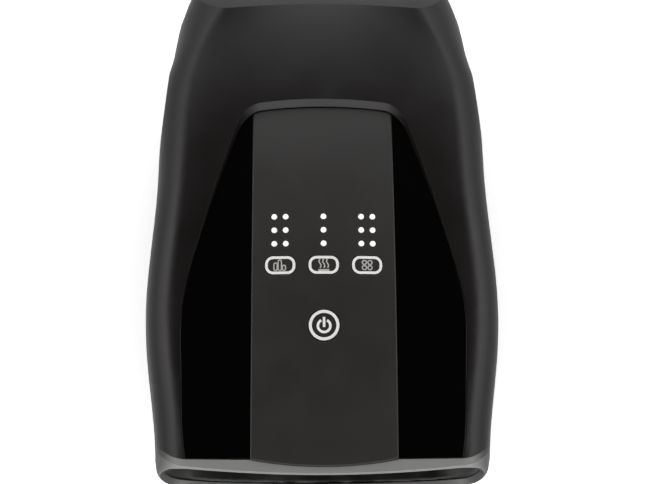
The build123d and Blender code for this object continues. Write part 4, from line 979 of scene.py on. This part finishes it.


# Trim ring: a separate ABS moulding round the mouth, painted satin grey.
# The paint is smooth and catches the light along its crowned front; towards the flanks its colour
# is darkened, a painted shade where the ring turns sideways.
# Painted shade: the grey is mixed towards a dark tone as the ring's surface turns sideways, by the
# size of the normal's X.
FLANK_SHADE_TONE = "#242323"
FLANK_TURN = (0.35, 0.85)
trim_paint = moulded(
    "ABS trim, satin grey paint", "#858583", 0.34, grain=0.5, relief=0.003, mottle=0.03, edge=0.5
)
flank_tree = trim_paint.node_tree
flank_base = flank_tree.nodes["Principled BSDF"].inputs["Base Color"]
flank = add_node(flank_tree, "ShaderNodeNewGeometry")
flank_parts = add_node(
    flank_tree, "ShaderNodeSeparateXYZ", links={0: flank.outputs["True Normal"]}
)
flank_turn = add_node(
    flank_tree, "ShaderNodeMath", {"operation": "ABSOLUTE"}, {0: flank_parts.outputs["X"]}
)
flank_shade_share = add_node(
    flank_tree, "ShaderNodeMapRange", {"From Min": FLANK_TURN[0], "From Max": FLANK_TURN[1]},
    {"Value": flank_turn.outputs[0]},
)
# The painted shade: the paint's grey mixed into the dark tone on the sideways faces.
flank_shade_mix = add_node(
    flank_tree, "ShaderNodeMix", {"data_type": "RGBA", 7: colour(FLANK_SHADE_TONE)},
    {0: flank_shade_share.outputs[0], 6: flank_base.links[0].from_socket},
)
flank_tree.links.new(flank_shade_mix.outputs[2], flank_base)
full_cornered("mouth_trim", trim_paint)


# Gloss panel: high-gloss black ABS, polished in the tool, snapped into its bevelled recess.
# Its reflections waver a little, as on any large moulding.
gloss_abs = moulded(
    "black ABS, moulded, high gloss", "#020202", 0.06,
    grain=6.0, relief=0.002, mottle=0, edge=0.4, ior=1.42,
)
dress(gloss_abs, "gloss_panel")


# Control strip: a matt textured moulding, proud of the gloss panel by half a millimetre.
# The fine texture scatters the light, so it looks an even dark grey.
strip_abs = moulded(
    "dark grey ABS, matt texture", "#232120", 0.5, grain=0.3, relief=0.008, edge=0.5
)
dress(strip_abs, "control_strip")


# Switches and lights under the strip: moulded switch bodies with pale plungers, light chips on
# the board, and frosted acrylic pins that carry their light up to the strip.
CAP_PLACES = {
    "power": (0.0, -53.4),
    "intensity": (-18.6, -27.4),
    "heat": (0.0, -27.4),
    "mode": (18.6, -27.4),
}
LIGHT_STRENGTH = 0.55
switch_plastic = moulded(
    "black nylon switch bodies", "#1c1c1c", 0.4, grain=0.3, relief=0.01, edge=0.3
)
plunger_plastic = moulded("ivory nylon plungers", "#b9b3a6", 0.45, grain=0.3, relief=0.01, edge=0.2)
chip_resin = moulded(
    "light chips under yellow resin", "#e0d48c", 0.25, grain=0.5, relief=0.01, edge=0.1
)
dress(switch_plastic, "switch_bodies")
dress(plunger_plastic, *(f"{kind}_switch_plunger" for kind in CAP_PLACES))
dress(chip_resin, "light_chips")
lit_acrylic = moulded(
    "frosted acrylic, lit white", "#e6e6e2", 0.35, grain=0.4, relief=0.004, edge=0.2, ior=1.49
)
lit_shader = lit_acrylic.node_tree.nodes["Principled BSDF"]
lit_shader.inputs["Emission Color"].default_value = colour("#fbfaf7")
lit_shader.inputs["Emission Strength"].default_value = LIGHT_STRENGTH
dress(lit_acrylic, "light_guides")


# Buttons: matt caps of the same plastic as the strip, printed in warm white ink.
# The print is a thin raised film: a ring or frame round each cap, and a plain sign inside it.
PRINT_RISE = 0.03
ABOVE_ALL = 0.2
FRAME_HALF_X = 12.9 / 2
FRAME_HALF_Y = 7.8 / 2
FRAME_CORNER = 3.4
FRAME_LINE = 1.15
RING_RADIUS = 6.5
RING_LINE = 1.27
POWER_RADIUS = 3.2
POWER_GAP = (118, 422)
POWER_STEM = (3.5, 4.3)
POWER_LINE = 1.1
BARS = ((-2.0, 3.8), (-0.17, 5.1), (1.6, 2.8))
BAR_HALF_X = 1.4 / 2
BAR_CORNER = 0.7
BAR_FOOT = -2.55
BAR_LINE = 0.5
STEAM_PLACES = (-1.6, 0.0, 1.6)
STEAM_SWING = 0.42
STEAM_FOOT = -1.3
STEAM_TALL = 3.85
STEAM_LINE = 0.55
HOTPLATE_WIDE = 4.7
HOTPLATE_START = (-2.35, -2.3)
HOTPLATE_LINE = 0.9
PETAL_OUT = (1.2, 1.15)
PETAL_RADIUS = 0.9
PETAL_LINE = 0.5
cap_abs = moulded(
    "dark grey ABS, matt button caps", "#222120", 0.5, grain=0.3, relief=0.008, edge=0.4
)
dress(cap_abs, *(f"{kind}_button" for kind in CAP_PLACES))
frame_ink = moulded(
    "warm white ink, printed", "#f4f2f0", 0.5, grain=0.25, relief=0.006, mottle=0.02, edge=0
)
sign_ink = moulded(
    "pale grey ink, printed", "#bcb8b5", 0.5, grain=0.25, relief=0.006, mottle=0.03, edge=0
)


def line_of(points, width, closed):
    """A flat line of even width along points in millimetres: its points and faces."""
    flat = []
    count = len(points)
    for i, p in enumerate(points):
        before = points[i - 1] if closed or i else p
        after = points[(i + 1) % count] if closed or i < count - 1 else p
        along = (after - before).normalized()
        side = Vector((-along.y, along.x)) * width / 2
        flat.extend((p + side, p - side))
    faces = []
    for i in range(count if closed else count - 1):
        j = (i + 1) % count
        faces.append((2 * i, 2 * i + 1, 2 * j + 1, 2 * j))
    return flat, faces


def arc_of(x, y, radius, start, end, count):
    """Points of an arc about x, y in millimetres, from one angle to another in degrees."""
    angles = [math.radians(start + (end - start) * i / count) for i in range(count + 1)]
    return [Vector((x + radius * math.cos(a), y + radius * math.sin(a))) for a in angles]


def printed(name, lines, kind, ink):
    """Lines of ink on a button's cap, from (points, width, closed) about the cap's middle."""
    cap = surface_of(f"{kind}_button")
    centre = Vector(CAP_PLACES[kind])
    points = []
    faces = []
    for path, width, closed in lines:
        flat, some_faces = line_of(path, width, closed)
        shift = len(points)
        for p in flat:
            x, y = (centre + p) * MM
            top = cap.ray_cast(Vector((x, y, ABOVE_ALL)), -UP)[0]
            points.append((x, y, top.z + PRINT_RISE * MM))
        faces.extend(tuple(v + shift for v in face) for face in some_faces)
    new_piece(name, points, faces, ink, f"{kind}_key")


half_line = FRAME_LINE / 2
frame_line = outline(
    FRAME_HALF_X - half_line, FRAME_HALF_Y - half_line, FRAME_CORNER - half_line, 10, 12, 6
)
for kind in ("intensity", "heat", "mode"):
    printed(f"{kind}_frame_print", [(frame_line, FRAME_LINE, True)], kind, frame_ink)
power_ring = arc_of(0, 0, RING_RADIUS - RING_LINE / 2, 0, 360, 72)[:-1]
printed("power_ring_print", [(power_ring, RING_LINE, True)], "power", frame_ink)
power_arc = arc_of(0, -0.3, POWER_RADIUS - POWER_LINE / 2, *POWER_GAP, 48)
power_stem = [Vector((0, POWER_STEM[0] - POWER_STEM[1] * i / 8)) for i in range(9)]
power_lines = [(power_arc, POWER_LINE, False), (power_stem, POWER_LINE, False)]
printed("power_sign_print", power_lines, "power", frame_ink)
bars = []
for x, tall in BARS:
    ring = outline(BAR_HALF_X, (tall - BAR_LINE) / 2, BAR_CORNER, 8, 1, 6)
    bars.append(([p + Vector((x, BAR_FOOT + tall / 2)) for p in ring], BAR_LINE, True))
printed("intensity_sign_print", bars, "intensity", sign_ink)
steam = []
for x in STEAM_PLACES:
    wave = [
        Vector(
            (
                x + STEAM_SWING * math.sin(2 * math.pi * i / 20),
                STEAM_FOOT + STEAM_TALL * i / 20,
            )
        )
        for i in range(21)
    ]
    steam.append((wave, STEAM_LINE, False))
hotplate_x, hotplate_y = HOTPLATE_START
hotplate = [Vector((hotplate_x + HOTPLATE_WIDE * i / 8, hotplate_y)) for i in range(9)]
steam.append((hotplate, HOTPLATE_LINE, False))
printed("heat_sign_print", steam, "heat", sign_ink)
out_x, out_y = PETAL_OUT
petals = [
    (arc_of(sx * out_x, sy * out_y, PETAL_RADIUS, 0, 360, 32)[:-1], PETAL_LINE, True)
    for sx in (-1, 1)
    for sy in (-1, 1)
]
printed("mode_sign_print", petals, "mode", sign_ink)
